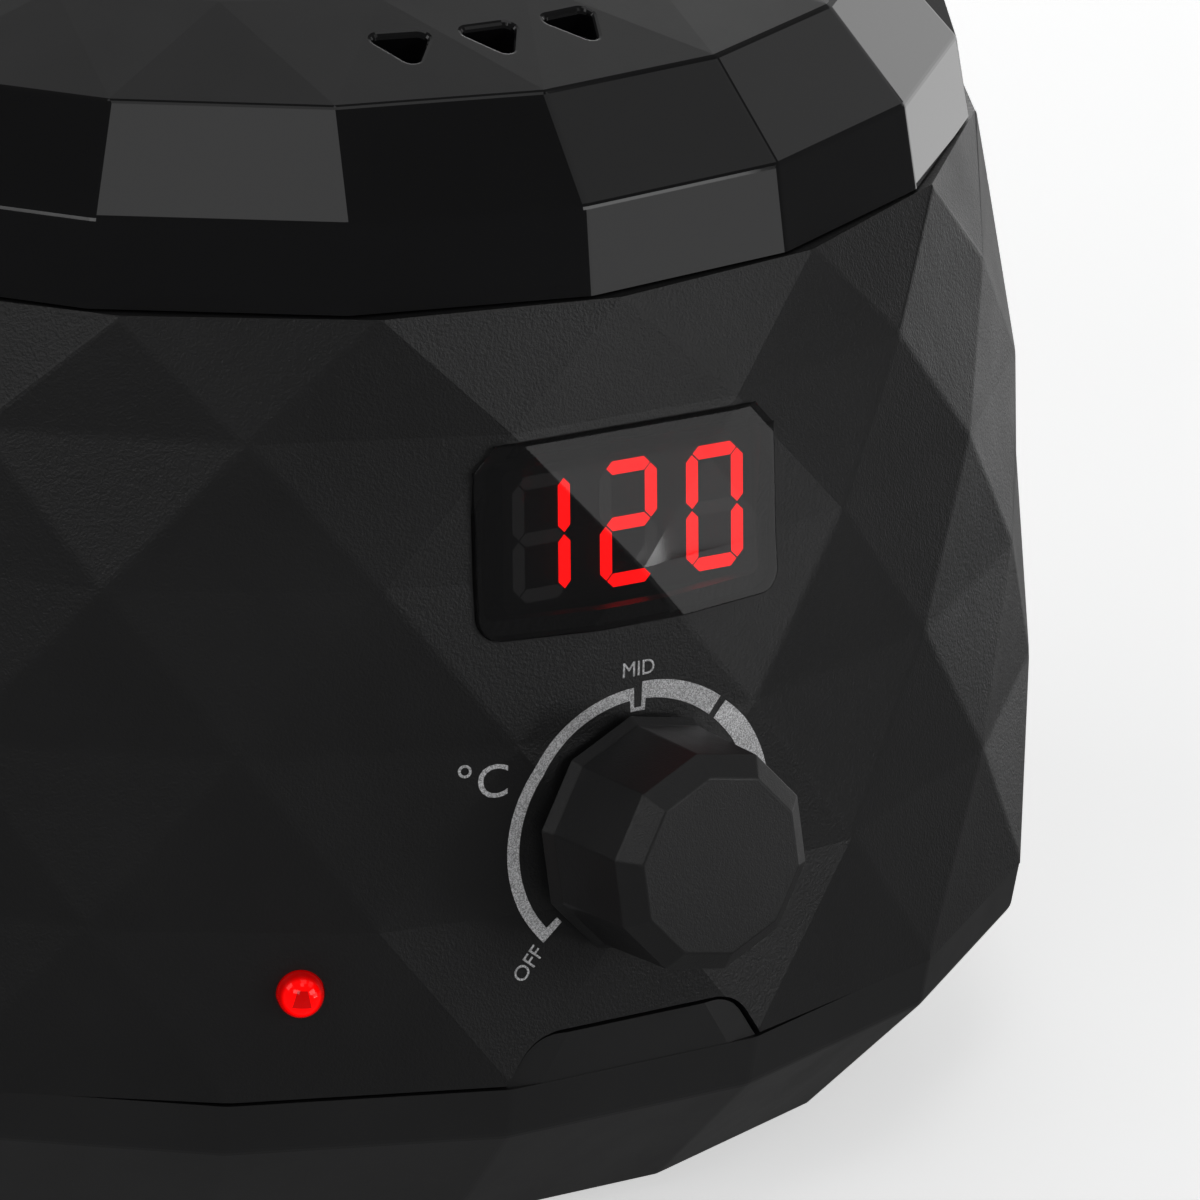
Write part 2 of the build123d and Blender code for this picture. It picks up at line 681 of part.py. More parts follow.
lid_knob_height = lid_knob_side_height + lid_knob_crown
with BuildPart() as lid_knob:
    for height, radius in ((0, lid_knob_base), (lid_knob_waist_height, lid_knob_waist),
                           (lid_knob_side_height, lid_knob_top), (lid_knob_height, lid_knob_crown_radius)):
        with BuildSketch(Plane.XY.offset(lid_top + height)):
            RegularPolygon(radius, lid_knob_sides, rotation=90)
    loft(ruled=True)
    with BuildSketch(Plane.XY.offset(lid_top)):
        Circle(lid_screw_radius + hole_clearance)
    extrude(amount=lid_screw_bite + 0.5, mode=Mode.SUBTRACT)
finish(lid_knob, "lid_knob")

with BuildPart() as lid_knob_screw:
    with BuildSketch(Plane.XY.offset(lid_top - lid_wall)):
        Circle(lid_screw_radius)
    extrude(amount=lid_wall + lid_screw_bite)
    with BuildSketch(Plane.XY.offset(lid_top - lid_wall)):
        Circle(lid_screw_head)
    extrude(amount=-lid_screw_head_height)
    fillet(lid_knob_screw.edges().group_by(Axis.Z)[0], 1.0)
    with BuildSketch(Plane.XY.offset(lid_top - lid_wall - lid_screw_head_height)):
        Rectangle(4.4, 1.0)
        Rectangle(1.0, 4.4)
    extrude(amount=1.4, mode=Mode.SUBTRACT)
finish(lid_knob_screw, "lid_knob_screw")

# ---- display --------------------------------------------------------------------------------------
with BuildPart() as display_lens:
    with BuildSketch(front_plane.offset(front_length - front_depth)):
        with Locations((0, lens_z)):
            RectangleRounded(lens_width, lens_height, lens_corner)
    extrude(amount=front_depth)
    add(faceted_solid(body_rings(-lens_proud)), mode=Mode.INTERSECT)
    add(faceted_solid(body_rings(lens_pocket)), mode=Mode.SUBTRACT)
finish(display_lens, "display_lens")

module_rise = (lens_z - panel_z) / cos(panel_tilt)
with BuildPart() as display_module:
    with BuildSketch(panel.offset(-module_sunk)):
        with Locations((0, module_rise)):
            Rectangle(module_width, module_height)
    extrude(amount=-module_depth)
    # recessed windows of the three digits
    with BuildSketch(panel.offset(-module_sunk)):
        with Locations((0, module_rise)):
            with GridLocations(11.3, 1, 3, 1):
                Rectangle(9.0, 15.0)
    extrude(amount=-0.4, mode=Mode.SUBTRACT)
finish(display_module, "display_module")

with BuildPart() as control_board:
    with BuildSketch(panel.offset(-board_face)):
        with Locations((0, (board_high - board_low) / 2)):
            RectangleRounded(board_width, board_high + board_low, 2.0)
        with Locations(board_screw_points):
            Circle(small_screw_radius + pass_clearance, mode=Mode.SUBTRACT)
    extrude(amount=-board_thickness)
finish(control_board, "control_board")

with BuildPart() as board_screws:
    with BuildSketch(panel.offset(-board_face - board_thickness)):
        with Locations(board_screw_points):
            Circle(small_screw_radius)
    extrude(amount=board_thickness + board_screw_bite - 0.5)
    with BuildSketch(panel.offset(-board_face - board_thickness)):
        with Locations(board_screw_points):
            Circle(small_screw_head)
    extrude(amount=-small_screw_head_height)
finish(board_screws, "board_screws")

with BuildPart() as controller_chip:
    with BuildSketch(panel.offset(-board_face - board_thickness)):
        with Locations((0, 8.0)):
            Rectangle(10.0, 16.0)
    extrude(amount=-2.6)
    with BuildSketch(panel.offset(-board_face - board_thickness)):
        for way in (-1, 1):
            with Locations((way * 6.0, 8.0)):
                with GridLocations(1, 1.9, 1, 8):
                    Rectangle(2.4, 0.7)
    extrude(amount=-0.8)
finish(controller_chip, "controller_chip")

# ---- rotary sensor and knob -----------------------------------------------------------------------
seat_back = seat_sunk + seat_thickness
with BuildPart() as rotary_sensor:
    with BuildSketch(panel.offset(-seat_back)):
        Circle(sensor_can_radius)
    extrude(amount=-sensor_can_depth)
    with BuildSketch(panel.offset(-seat_back)):
        Circle(bushing_radius)
    extrude(amount=seat_back + bushing_tip)
    with BuildSketch(panel.offset(bushing_tip)):
        Circle(shaft_radius + shaft_running)
    extrude(amount=-bushing_tip - shaft_sunk - 0.4, mode=Mode.SUBTRACT)
    with BuildSketch(panel.offset(-seat_back - 4.0)):
        with Locations((0, -sensor_can_radius)):
            with GridLocations(5.0, 1, 3, 1):
                Rectangle(1.2, 6.0)
    extrude(amount=-0.6)
finish(rotary_sensor, "rotary_sensor")

with BuildPart() as sensor_washer:
    with BuildSketch(panel.offset(-seat_sunk)):
        Circle(washer_radius)
        Circle(bushing_radius + hole_clearance, mode=Mode.SUBTRACT)
    extrude(amount=washer_thickness)
finish(sensor_washer, "sensor_washer")

with BuildPart() as sensor_nut:
    with BuildSketch(panel.offset(-seat_sunk + washer_thickness)):
        RegularPolygon(nut_corner, 6)
        Circle(bushing_radius + hole_clearance, mode=Mode.SUBTRACT)
    extrude(amount=nut_thickness)
finish(sensor_nut, "sensor_nut")

shaft_tip = shaft_length - shaft_sunk
with BuildPart() as knob_shaft:
    with BuildSketch(panel.offset(-shaft_sunk)):
        Circle(shaft_radius)
    extrude(amount=shaft_length)
    with BuildSketch(panel.offset(shaft_tip)):
        with Locations((0, -shaft_radius)):
            Rectangle(3 * shaft_radius, 2 * shaft_flat)
    extrude(amount=-(shaft_tip - knob_gap - knob_hub_lift), mode=Mode.SUBTRACT)
finish(knob_shaft, "knob_shaft")

with BuildPart() as control_knob:
    for height, radius in knob_stations:
        with BuildSketch(panel.offset(knob_gap + height)):
            RegularPolygon(radius, knob_sides, rotation=knob_rest_turn)
    loft(ruled=True)
    with BuildSketch(panel.offset(knob_gap)):
        Circle(knob_hollow_radius)
    extrude(amount=knob_hollow_depth, mode=Mode.SUBTRACT)
    with BuildSketch(panel.offset(knob_gap + knob_hub_lift)):
        Circle(knob_hub_radius)
    extrude(amount=knob_hollow_depth - knob_hub_lift)
    with BuildSketch(panel.offset(shaft_tip + 0.2)):
        with BuildLine():
            half_flat = (shaft_radius ** 2 - (shaft_radius - shaft_flat) ** 2) ** 0.5
            bow = ThreePointArc((-half_flat, shaft_flat - shaft_radius), (0, shaft_radius),
                                (half_flat, shaft_flat - shaft_radius))
            Line(bow @ 1, bow @ 0)
        make_face()
        offset(amount=hole_clearance)
    extrude(amount=-shaft_length, mode=Mode.SUBTRACT)
finish(control_knob, "control_knob")

# ---- indicator light ------------------------------------------------------------------------------
with BuildPart() as indicator_led:
    with Locations(led_plane):
        with Locations((led_side, led_rise, led_proud - led_radius)):
            Cylinder(led_radius, led_length - led_radius, align=(Align.CENTER, Align.CENTER, Align.MAX))
            Sphere(led_radius)
    with BuildSketch(led_plane.offset(-wall - led_flange_gap)):
        with Locations((led_side, led_rise)):
            Circle(led_flange)
    extrude(amount=-led_flange_thickness)
    with BuildSketch(led_plane.offset(led_proud - led_length)):
        with Locations((led_side, led_rise)):
            with GridLocations(2.54, 1, 2, 1):
                Rectangle(0.5, 0.5)
    extrude(amount=-led_lead)
finish(indicator_led, "indicator_led")

# ---- cord gland -----------------------------------------------------------------------------------
with BuildPart() as cord_gland:
    with BuildSketch(gland_plane.offset(gland_pad_proud)):
        RegularPolygon(gland_hex, 6)
    extrude(amount=gland_hex_length)
    with BuildSketch(gland_plane.offset(gland_pad_proud)):
        Circle(gland_thread)
    extrude(amount=-gland_pad_depth - gland_inside)
    with BuildSketch(gland_plane.offset(gland_pad_proud + gland_hex_length)):
        Circle(gland_nut_radius)
    extrude(amount=gland_nut_length, taper=8)
    with BuildSketch(gland_plane.offset(gland_pad_proud + gland_hex_length)):
        with PolarLocations(gland_nut_radius, 12):
            Circle(0.6)
    extrude(amount=gland_nut_length * 0.5, mode=Mode.SUBTRACT)
    with BuildSketch(gland_plane.offset(gland_pad_proud + gland_hex_length + gland_nut_length)):
        Circle(gland_bore)
    extrude(amount=-60, mode=Mode.SUBTRACT)
finish(cord_gland, "cord_gland")

with BuildPart() as gland_locknut:
    with BuildSketch(gland_plane.offset(gland_pad_proud - gland_pad_depth)):
        RegularPolygon(gland_hex, 6)
        Circle(gland_thread + hole_clearance, mode=Mode.SUBTRACT)
    extrude(amount=-locknut_thickness)
finish(gland_locknut, "gland_locknut")

# ---- supply board and what it carries -------------------------------------------------------------
board_top = supply_top + board_thickness
with BuildPart() as supply_board:
    with BuildSketch(Plane.XY.offset(supply_top)):
        with Locations((0, supply_board_back)):
            RectangleRounded(supply_board_width, supply_board_length, 2.0)
            with Locations(supply_points):
                Circle(small_screw_radius + pass_clearance, mode=Mode.SUBTRACT)
    extrude(amount=board_thickness)
finish(supply_board, "supply_board")

with BuildPart() as supply_screws:
    with BuildSketch(Plane.XY.offset(board_top)):
        with Locations((0, supply_board_back)):
            with Locations(supply_points):
                Circle(small_screw_radius)
    extrude(amount=-supply_board_lift - board_thickness + 1.0)
    with BuildSketch(Plane.XY.offset(board_top)):
        with Locations((0, supply_board_back)):
            with Locations(supply_points):
                Circle(small_screw_head)
    extrude(amount=small_screw_head_height)
    fillet(supply_screws.edges().group_by(Axis.Z)[-1], 0.8)
finish(supply_screws, "supply_screws")


def on_board(name, x, y, width, length, height, edge):
    """A boxed component standing on the supply board."""
    with BuildPart() as component:
        with BuildSketch(Plane.XY.offset(board_top)):
            with Locations((x, supply_board_back + y)):
                Rectangle(width, length)
        extrude(amount=height)
        fillet(component.edges().group_by(Axis.Z)[-1], edge)
    finish(component, name)


on_board("relay", -20.0, 4.0, 19.0, 15.5, 15.0, 0.8)
on_board("supply_coil", 8.0, 4.0, 20.0, 18.0, 16.0, 1.2)

with BuildPart() as capacitors:
    with BuildSketch(Plane.XY.offset(board_top)):
        with Locations((24.5, supply_board_back + 8.0), (24.5, supply_board_back - 6.0)):
            Circle(4.0)
    extrude(amount=12.0)
    fillet(capacitors.edges().group_by(Axis.Z)[-1], 0.8)
finish(capacitors, "capacitors")

with BuildPart() as terminal_block:
    with BuildSketch(Plane.XY.offset(board_top)):
        with Locations((0, supply_board_back + 18.5)):
            Rectangle(30.0, 8.0)
    extrude(amount=10.0)
    with BuildSketch(Plane.XY.offset(board_top + 10.0)):
        with Locations((0, supply_board_back + 18.5)):
            with GridLocations(7.0, 1, 4, 1):
                Circle(1.8)
    extrude(amount=-3.0, mode=Mode.SUBTRACT)
    with BuildSketch(Plane.XZ.offset(-supply_board_back - 22.5)):
        with Locations((0, board_top + 3.5)):
            with GridLocations(7.0, 1, 4, 1):
                Rectangle(3.6, 3.6)
    extrude(amount=5.0, mode=Mode.SUBTRACT)
finish(terminal_block, "terminal_block")
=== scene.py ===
"""A table-top wax warmer: the visible pieces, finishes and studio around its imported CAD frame.

Metres, +Z up, the front of the housing faces -Y.
"""

import json
import math

import bmesh
import bpy
from bpy.props import FloatProperty, FloatVectorProperty, PointerProperty, StringProperty
from mathutils import Matrix, Vector
from mathutils.bvhtree import BVHTree


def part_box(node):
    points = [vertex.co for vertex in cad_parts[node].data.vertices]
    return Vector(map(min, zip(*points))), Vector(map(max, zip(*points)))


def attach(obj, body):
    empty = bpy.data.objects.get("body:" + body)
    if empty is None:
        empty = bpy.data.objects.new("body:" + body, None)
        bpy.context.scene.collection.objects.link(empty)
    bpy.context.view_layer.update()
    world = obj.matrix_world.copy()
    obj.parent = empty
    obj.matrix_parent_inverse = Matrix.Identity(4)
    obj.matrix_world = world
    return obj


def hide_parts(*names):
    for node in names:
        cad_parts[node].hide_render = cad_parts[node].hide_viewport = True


bl_info = {
    "name": "Faceted wax warmer",
    "version": (1, 0, 0),
    "blender": (4, 5, 0),
    "location": "3D View > Sidebar > Wax warmer",
    "description": "Builds the visible pieces, finishes and studio of a faceted wax warmer",
    "category": "Object",
}

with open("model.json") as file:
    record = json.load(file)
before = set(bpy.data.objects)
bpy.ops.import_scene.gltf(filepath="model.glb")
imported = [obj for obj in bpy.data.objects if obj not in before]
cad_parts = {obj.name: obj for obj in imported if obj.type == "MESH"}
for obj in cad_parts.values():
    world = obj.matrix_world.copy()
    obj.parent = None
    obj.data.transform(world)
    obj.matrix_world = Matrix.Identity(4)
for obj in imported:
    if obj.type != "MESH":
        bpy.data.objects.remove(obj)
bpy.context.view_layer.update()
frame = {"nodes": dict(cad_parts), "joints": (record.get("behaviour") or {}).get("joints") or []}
JOINTS = {joint["name"]: joint for joint in frame["joints"]}
KNOB_AXIS = Vector(JOINTS["knob_turn"]["axis"]).normalized()
KNOB_PLACE = Vector(JOINTS["knob_turn"]["pos_m"])
ACROSS = Vector((1, 0, 0))
UP_PANEL = KNOB_AXIS.cross(ACROSS)
MM = 0.001

# ---- panel plane -------------------------------------------------------------------------------


def panel_matrix(x=0.0, y=0.0, lift=0.0, turn=0.0):
    """Local XY on the control panel, Z out of it. x, y and lift are metres from the knob's axis."""
    basis = Matrix((ACROSS, UP_PANEL, KNOB_AXIS)).transposed().to_4x4()
    place = KNOB_PLACE + ACROSS * x + UP_PANEL * y + KNOB_AXIS * lift
    return Matrix.Translation(place) @ basis @ Matrix.Rotation(turn, 4, "Z")


# ---- settings ----------------------------------------------------------------------------------


class WarmerShellSettings(bpy.types.PropertyGroup):
    facet_edge: FloatProperty(
        name="Facet edge", description="Width of the softened facet edges of the housing",
        default=0.45 * MM, min=0.0, unit="LENGTH")
    lid_edge: FloatProperty(
        name="Lid edge", description="Width of the softened facet edges of the lid",
        default=0.35 * MM, min=0.0, unit="LENGTH")
    vent_rim: FloatProperty(name="Vent rim", description="Width of the rounded rim of a steam vent",
                            default=0.6 * MM, min=0.0, unit="LENGTH")
    knob_edge: FloatProperty(
        name="Knob edge", description="Width of the softened edges of the knobs", default=0.16 * MM,
        min=0.0, unit="LENGTH")
    housing_color: FloatVectorProperty(
        name="Housing", description="Colour of the grained housing", subtype="COLOR",
        default=(0.009, 0.009, 0.0095), min=0.0, max=1.0)
    base_color: FloatVectorProperty(name="Base", description="Colour of the base", subtype="COLOR",
                                    default=(0.013, 0.013, 0.0135), min=0.0, max=1.0)
    lid_color: FloatVectorProperty(name="Lid", description="Colour of the lid", subtype="COLOR",
                                   default=(0.004, 0.004, 0.0045), min=0.0, max=1.0)
    knob_color: FloatVectorProperty(
        name="Knob", description="Colour of the control knob", subtype="COLOR",
        default=(0.011, 0.011, 0.0115), min=0.0, max=1.0)
    grain_size: FloatProperty(
        name="Grain size", description="Size of the moulded grain on the housing", default=0.3 * MM,
        min=0.0, unit="LENGTH")


class WarmerDisplaySettings(bpy.types.PropertyGroup):
    reading: StringProperty(
        name="Reading", description="Three digits that the display shows", default="120", maxlen=3)
    digit_height: FloatProperty(
        name="Digit height", description="Height of a digit", default=13.8 * MM, unit="LENGTH")
    digit_width: FloatProperty(
        name="Digit width", description="Width of a digit", default=7.2 * MM, unit="LENGTH")
    digit_pitch: FloatProperty(
        name="Digit pitch", description="From one digit to the next", default=11.0 * MM,
        unit="LENGTH")
    stroke: FloatProperty(
        name="Stroke", description="Width of a lit segment", default=1.45 * MM, unit="LENGTH")
    gap: FloatProperty(
        name="Gap", description="Space between two segments", default=0.3 * MM, unit="LENGTH")
    rise: FloatProperty(
        name="Rise", description="Middle of the digits above the knob's axis", default=33.1 * MM,
        unit="LENGTH")
    shift: FloatProperty(
        name="Shift", description="Middle of the digits to the right of the knob's axis",
        default=1.3 * MM, unit="LENGTH")
    depth: FloatProperty(
        name="Depth", description="How far the digits stand behind the panel", default=4.3 * MM,
        unit="LENGTH")
    plate_width: FloatProperty(
        name="Plate width", description="Width of the plate that carries the digits",
        default=31.6 * MM, unit="LENGTH")
    plate_height: FloatProperty(
        name="Plate height", description="Height of the plate that carries the digits",
        default=15.8 * MM, unit="LENGTH")
    lit_color: FloatVectorProperty(
        name="Lit", description="Colour of a lit segment", subtype="COLOR",
        default=(1.0, 0.0025, 0.003), min=0.0, max=1.0)
    glow: FloatProperty(name="Glow", description="Strength of a lit segment", default=8.0, min=0.0)


class WarmerLampSettings(bpy.types.PropertyGroup):
    azimuth: FloatProperty(
        name="Azimuth", description="Direction that the lamp faces, from -Y to +X", subtype="ANGLE",
        default=math.radians(-27))
    tilt: FloatProperty(name="Tilt", description="How far the lamp faces upwards", subtype="ANGLE",
                        default=math.radians(8.5))
    color: FloatVectorProperty(
        name="Glow colour", description="Colour of the glow", subtype="COLOR",
        default=(1.0, 0.0, 0.0), min=0.0, max=1.0)
    glow: FloatProperty(name="Glow", description="Strength of the glow", default=0.95, min=0.0)


class WarmerPrintSettings(bpy.types.PropertyGroup):
    radius: FloatProperty(
        name="Radius", description="Middle radius of the scale", default=15.2 * MM, unit="LENGTH")
    thin: FloatProperty(
        name="Thin band", description="Width of the band up to the middle mark", default=1.35 * MM,
        unit="LENGTH")
    wide: FloatProperty(
        name="Wide band", description="Width of the band past the middle mark", default=1.9 * MM,
        unit="LENGTH")
    split: FloatProperty(
        name="Split", description="Width of the band where it is split", default=2.35 * MM,
        unit="LENGTH")
    widest: FloatProperty(
        name="Widest", description="Width of the band at its hot end", default=4.2 * MM,
        unit="LENGTH")
    sweep: FloatProperty(
        name="Sweep", description="Angle from the middle mark to either end", subtype="ANGLE",
        default=math.radians(133))
    lift: FloatProperty(
        name="Thickness", description="Thickness of the print", default=0.05 * MM, unit="LENGTH")
    text_size: FloatProperty(
        name="Text size", description="Size of the lettering", default=2.6 * MM, unit="LENGTH")
    ink: FloatVectorProperty(name="Ink", description="Colour of the print", subtype="COLOR",
                             default=(0.55, 0.55, 0.56), min=0.0, max=1.0)


class WarmerStageSettings(bpy.types.PropertyGroup):
    camera_place: FloatVectorProperty(
        name="Camera", description="Where the camera stands", subtype="TRANSLATION",
        default=(-0.5332, -0.8733, 0.4421), unit="LENGTH")
    look_azimuth: FloatProperty(
        name="Azimuth", description="Direction that the camera looks in, from +Y to +X",
        subtype="ANGLE", default=math.radians(34.14))
    look_down: FloatProperty(
        name="Look down", description="How far the camera looks down", subtype="ANGLE",
        default=math.radians(21.17))
    roll: FloatProperty(
        name="Roll", description="Turn of the camera about its own axis", subtype="ANGLE",
        default=math.radians(3.26))
    focal_length: FloatProperty(
        name="Focal length", description="Focal length of the lens in millimetres", default=286.4,
        min=1.0)
    floor_color: FloatVectorProperty(
        name="Floor", description="Colour of the floor", subtype="COLOR", default=(0.9, 0.9, 0.9),
        min=0.0, max=1.0)
    room_light: FloatProperty(
        name="Room light", description="Strength of the even light", default=0.1, min=0.0)
    key_light: FloatProperty(
        name="Panels", description="Strength of the light panels", default=1.0, min=0.0)


SETTINGS = {
    "warmer_shell": WarmerShellSettings,
    "warmer_display": WarmerDisplaySettings,
    "warmer_lamp": WarmerLampSettings,
    "warmer_print": WarmerPrintSettings,
    "warmer_stage": WarmerStageSettings,
}

# ---- shader node groups ------------------------------------------------------------------------


def new_group(name, inputs, outputs):
    """An empty shader node group with float inputs (name, default) and float outputs."""
    group = bpy.data.node_groups.new(name, "ShaderNodeTree")
    for socket_name, default in inputs:
        socket = group.interface.new_socket(
            name=socket_name, in_out="INPUT", socket_type="NodeSocketFloat")
        socket.default_value = default
    for socket_name in outputs:
        group.interface.new_socket(name=socket_name, in_out="OUTPUT", socket_type="NodeSocketFloat")
    return group, group.nodes.new("NodeGroupInput"), group.nodes.new("NodeGroupOutput")


def math_node(tree, operation, a, b=None):
    """A Math node; a and b are sockets or numbers."""
    node = tree.nodes.new("ShaderNodeMath")
    node.operation = operation
    for place, value in ((0, a), (1, b)):
        if isinstance(value, bpy.types.NodeSocket):
            tree.links.new(value, node.inputs[place])
        elif value is not None:
            node.inputs[place].default_value = value
    return node.outputs[0]


def noise(tree, vector, scale, detail=3.0, roughness=0.55):
    """A 3D noise; scale is a socket or a number, per metre."""
    node = tree.nodes.new("ShaderNodeTexNoise")
    tree.links.new(vector, node.inputs["Vector"])
    if isinstance(scale, bpy.types.NodeSocket):
        tree.links.new(scale, node.inputs["Scale"])
    else:
        node.inputs["Scale"].default_value = scale
    node.inputs["Detail"].default_value = detail
    node.inputs["Roughness"].default_value = roughness
    return node.outputs[0]


def object_point(tree):
    return tree.nodes.new("ShaderNodeTexCoord").outputs["Object"]


def grain_group():
    """Moulded grain: fine pits, a slow drift of shade, and a drift of gloss."""
    group, given, result = new_group(
        "Moulded grain", (("Grain per metre", 2600.0), ("Drift per metre", 45.0)),
        ("Height", "Shade", "Gloss"))
    point = object_point(group)
    fine = noise(group, point, given.outputs["Grain per metre"], 2.0, 0.6)
    half = math_node(group, "MULTIPLY", given.outputs["Grain per metre"], 0.37)
    coarse = noise(group, point, half, 1.0)
    mixed = math_node(
        group, "ADD", math_node(group, "MULTIPLY", fine, 0.7),
        math_node(group, "MULTIPLY", coarse, 0.3))
    group.links.new(mixed, result.inputs["Height"])
    group.links.new(
        noise(group, point, given.outputs["Drift per metre"], 4.0), result.inputs["Shade"])
    slow = math_node(group, "MULTIPLY", given.outputs["Drift per metre"], 2.3)
    group.links.new(noise(group, point, slow, 5.0, 0.65), result.inputs["Gloss"])
    return group


def brushed_group():
    """Brushed or spun metal: lines round the vertical axis, with a drift of shade."""
    group, given, result = new_group(
        "Brushed metal", (("Lines per metre", 1800.0), ("Drift per metre", 30.0)),
        ("Height", "Shade", "Gloss"))
    point = object_point(group)
    split = group.nodes.new("ShaderNodeSeparateXYZ")
    group.links.new(point, split.inputs[0])
    squared = [math_node(group, "MULTIPLY", split.outputs[k], split.outputs[k]) for k in (0, 1)]
    radius = math_node(group, "SQRT", math_node(group, "ADD", *squared))
    join = group.nodes.new("ShaderNodeCombineXYZ")
    group.links.new(radius, join.inputs[0])
    group.links.new(split.outputs[2], join.inputs[2])
    lines = noise(group, join.outputs[0], given.outputs["Lines per metre"], 2.0)
    group.links.new(lines, result.inputs["Height"])
    drift = noise(group, point, given.outputs["Drift per metre"], 3.0)
    mixed = math_node(
        group, "ADD", math_node(group, "MULTIPLY", lines, 0.5),
        math_node(group, "MULTIPLY", drift, 0.5))
    group.links.new(mixed, result.inputs["Shade"])
    group.links.new(drift, result.inputs["Gloss"])
    return group


def weave_group():
    """A plain weave of threads."""
    group, given, result = new_group(
        "Fibre weave", (("Threads per metre", 900.0), ("Drift per metre", 120.0)),
        ("Height", "Shade", "Gloss"))
    point = object_point(group)
    heights = []
    for direction in ("X", "Z"):
        wave = group.nodes.new("ShaderNodeTexWave")
        wave.bands_direction = direction
        group.links.new(point, wave.inputs["Vector"])
        group.links.new(given.outputs["Threads per metre"], wave.inputs["Scale"])
        wave.inputs["Distortion"].default_value = 1.5
        heights.append(wave.outputs["Fac"])
    group.links.new(math_node(group, "MAXIMUM", *heights), result.inputs["Height"])
    group.links.new(
        noise(group, point, given.outputs["Drift per metre"], 4.0), result.inputs["Shade"])
    group.links.new(heights[0], result.inputs["Gloss"])
    return group


def speckle_group():
    """Metal flakes in a printed ink."""
    group, given, result = new_group(
        "Ink flakes", (("Flakes per metre", 5200.0), ("Drift per metre", 300.0)),
        ("Height", "Shade", "Gloss"))
    point = object_point(group)
    cells = group.nodes.new("ShaderNodeTexVoronoi")
    group.links.new(point, cells.inputs["Vector"])
    group.links.new(given.outputs["Flakes per metre"], cells.inputs["Scale"])
    grey = group.nodes.new("ShaderNodeRGBToBW")
    group.links.new(cells.outputs["Color"], grey.inputs[0])
    group.links.new(grey.outputs[0], result.inputs["Shade"])
    group.links.new(cells.outputs["Distance"], result.inputs["Height"])
    group.links.new(
        noise(group, point, given.outputs["Drift per metre"], 3.0), result.inputs["Gloss"])
    return group


GROUP_MAKERS = {
    "grain": grain_group, "brushed": brushed_group, "weave": weave_group, "speckle": speckle_group}
GROUPS = {}


def group_node(tree, kind, *values):
    """Places one of the shared node groups, with its own values."""
    if kind not in GROUPS:
        GROUPS[kind] = GROUP_MAKERS[kind]()
    node = tree.nodes.new("ShaderNodeGroup")
    node.node_tree = GROUPS[kind]
    for place, value in enumerate(values):
        node.inputs[place].default_value = value
    return node


# ---- materials ---------------------------------------------------------------------------------

NOISE_MIDDLE = (0.3, 0.7)  # the part of its range that a noise mostly fills


def map_range(tree, value, source, target=(0.0, 1.0), interpolation="LINEAR"):
    """A value carried from the source range to the target range."""
    node = tree.nodes.new("ShaderNodeMapRange")
    node.interpolation_type = interpolation
    tree.links.new(value, node.inputs["Value"])
    for name, limit in zip(("From Min", "From Max", "To Min", "To Max"), (*source, *target)):
        node.inputs[name].default_value = limit
    return node.outputs[0]


def tint(tree, mask, dark, light):
    """A colour between dark and light."""
    node = tree.nodes.new("ShaderNodeMix")
    node.data_type = "RGBA"
    tree.links.new(mask, node.inputs["Factor"])
    node.inputs["A"].default_value = (*dark, 1)
    node.inputs["B"].default_value = (*light, 1)
    return node.outputs["Result"]


def finish(name, color, roughness, kind="grain", pattern=(2600.0, 45.0), depth=0.02,
           contrast=0.25, gloss=0.06, **sockets):
    """A material with a shared pattern behind its colour, roughness and bump. depth is in mm.
    contrast is the share that the colour drifts by, gloss the spread of the roughness; the rest are
    sockets of the Principled shader."""
    material = bpy.data.materials.get(name)
    if material:
        return material
    material = bpy.data.materials.new(name)
    material.use_nodes = True
    tree = material.node_tree
    shader = tree.nodes["Principled BSDF"]
    pattern_node = group_node(tree, kind, *pattern)
    dark = [channel * (1 - contrast) for channel in color]
    light = [min(1.0, channel * (1 + contrast)) for channel in color]
    shade = map_range(tree, pattern_node.outputs["Shade"], NOISE_MIDDLE)
    tree.links.new(tint(tree, shade, dark, light), shader.inputs["Base Color"])
    spread = (max(0.0, roughness - gloss), roughness + gloss)
    tree.links.new(
        map_range(tree, pattern_node.outputs["Gloss"], NOISE_MIDDLE, spread),
        shader.inputs["Roughness"])
    if depth:
        bump = tree.nodes.new("ShaderNodeBump")
        bump.inputs["Distance"].default_value = depth * MM
        bump.inputs["Strength"].default_value = 1.0
        tree.links.new(pattern_node.outputs["Height"], bump.inputs["Height"])
        tree.links.new(bump.outputs[0], shader.inputs["Normal"])
    for socket, value in sockets.items():
        shader.inputs[socket.replace("_", " ")].default_value = value
    return material


def housing_finish():
    shell = bpy.context.scene.warmer_shell
    return finish(
        "grained_housing", shell.housing_color, 0.43, pattern=(1 / shell.grain_size, 40.0),
        depth=0.09, contrast=0.15, gloss=0.03, Specular_IOR_Level=0.5)


def base_finish():
    return finish(
        "satin_base", bpy.context.scene.warmer_shell.base_color, 0.34, pattern=(3800.0, 35.0),
        depth=0.006, contrast=0.12, gloss=0.04)


def lid_gloss_finish():
    return finish(
        "gloss_lid", bpy.context.scene.warmer_shell.lid_color, 0.05, pattern=(420.0, 60.0),
        depth=0.0006, contrast=0.1, gloss=0.02)


def lid_satin_finish():
    return finish(
        "satin_lid_top", bpy.context.scene.warmer_shell.lid_color, 0.33, pattern=(4200.0, 40.0),
        depth=0.004, contrast=0.12, gloss=0.03)


def knob_finish():
    return finish(
        "grained_knob", bpy.context.scene.warmer_shell.knob_color, 0.42, pattern=(5200.0, 60.0),
        depth=0.045, contrast=0.15, gloss=0.04)


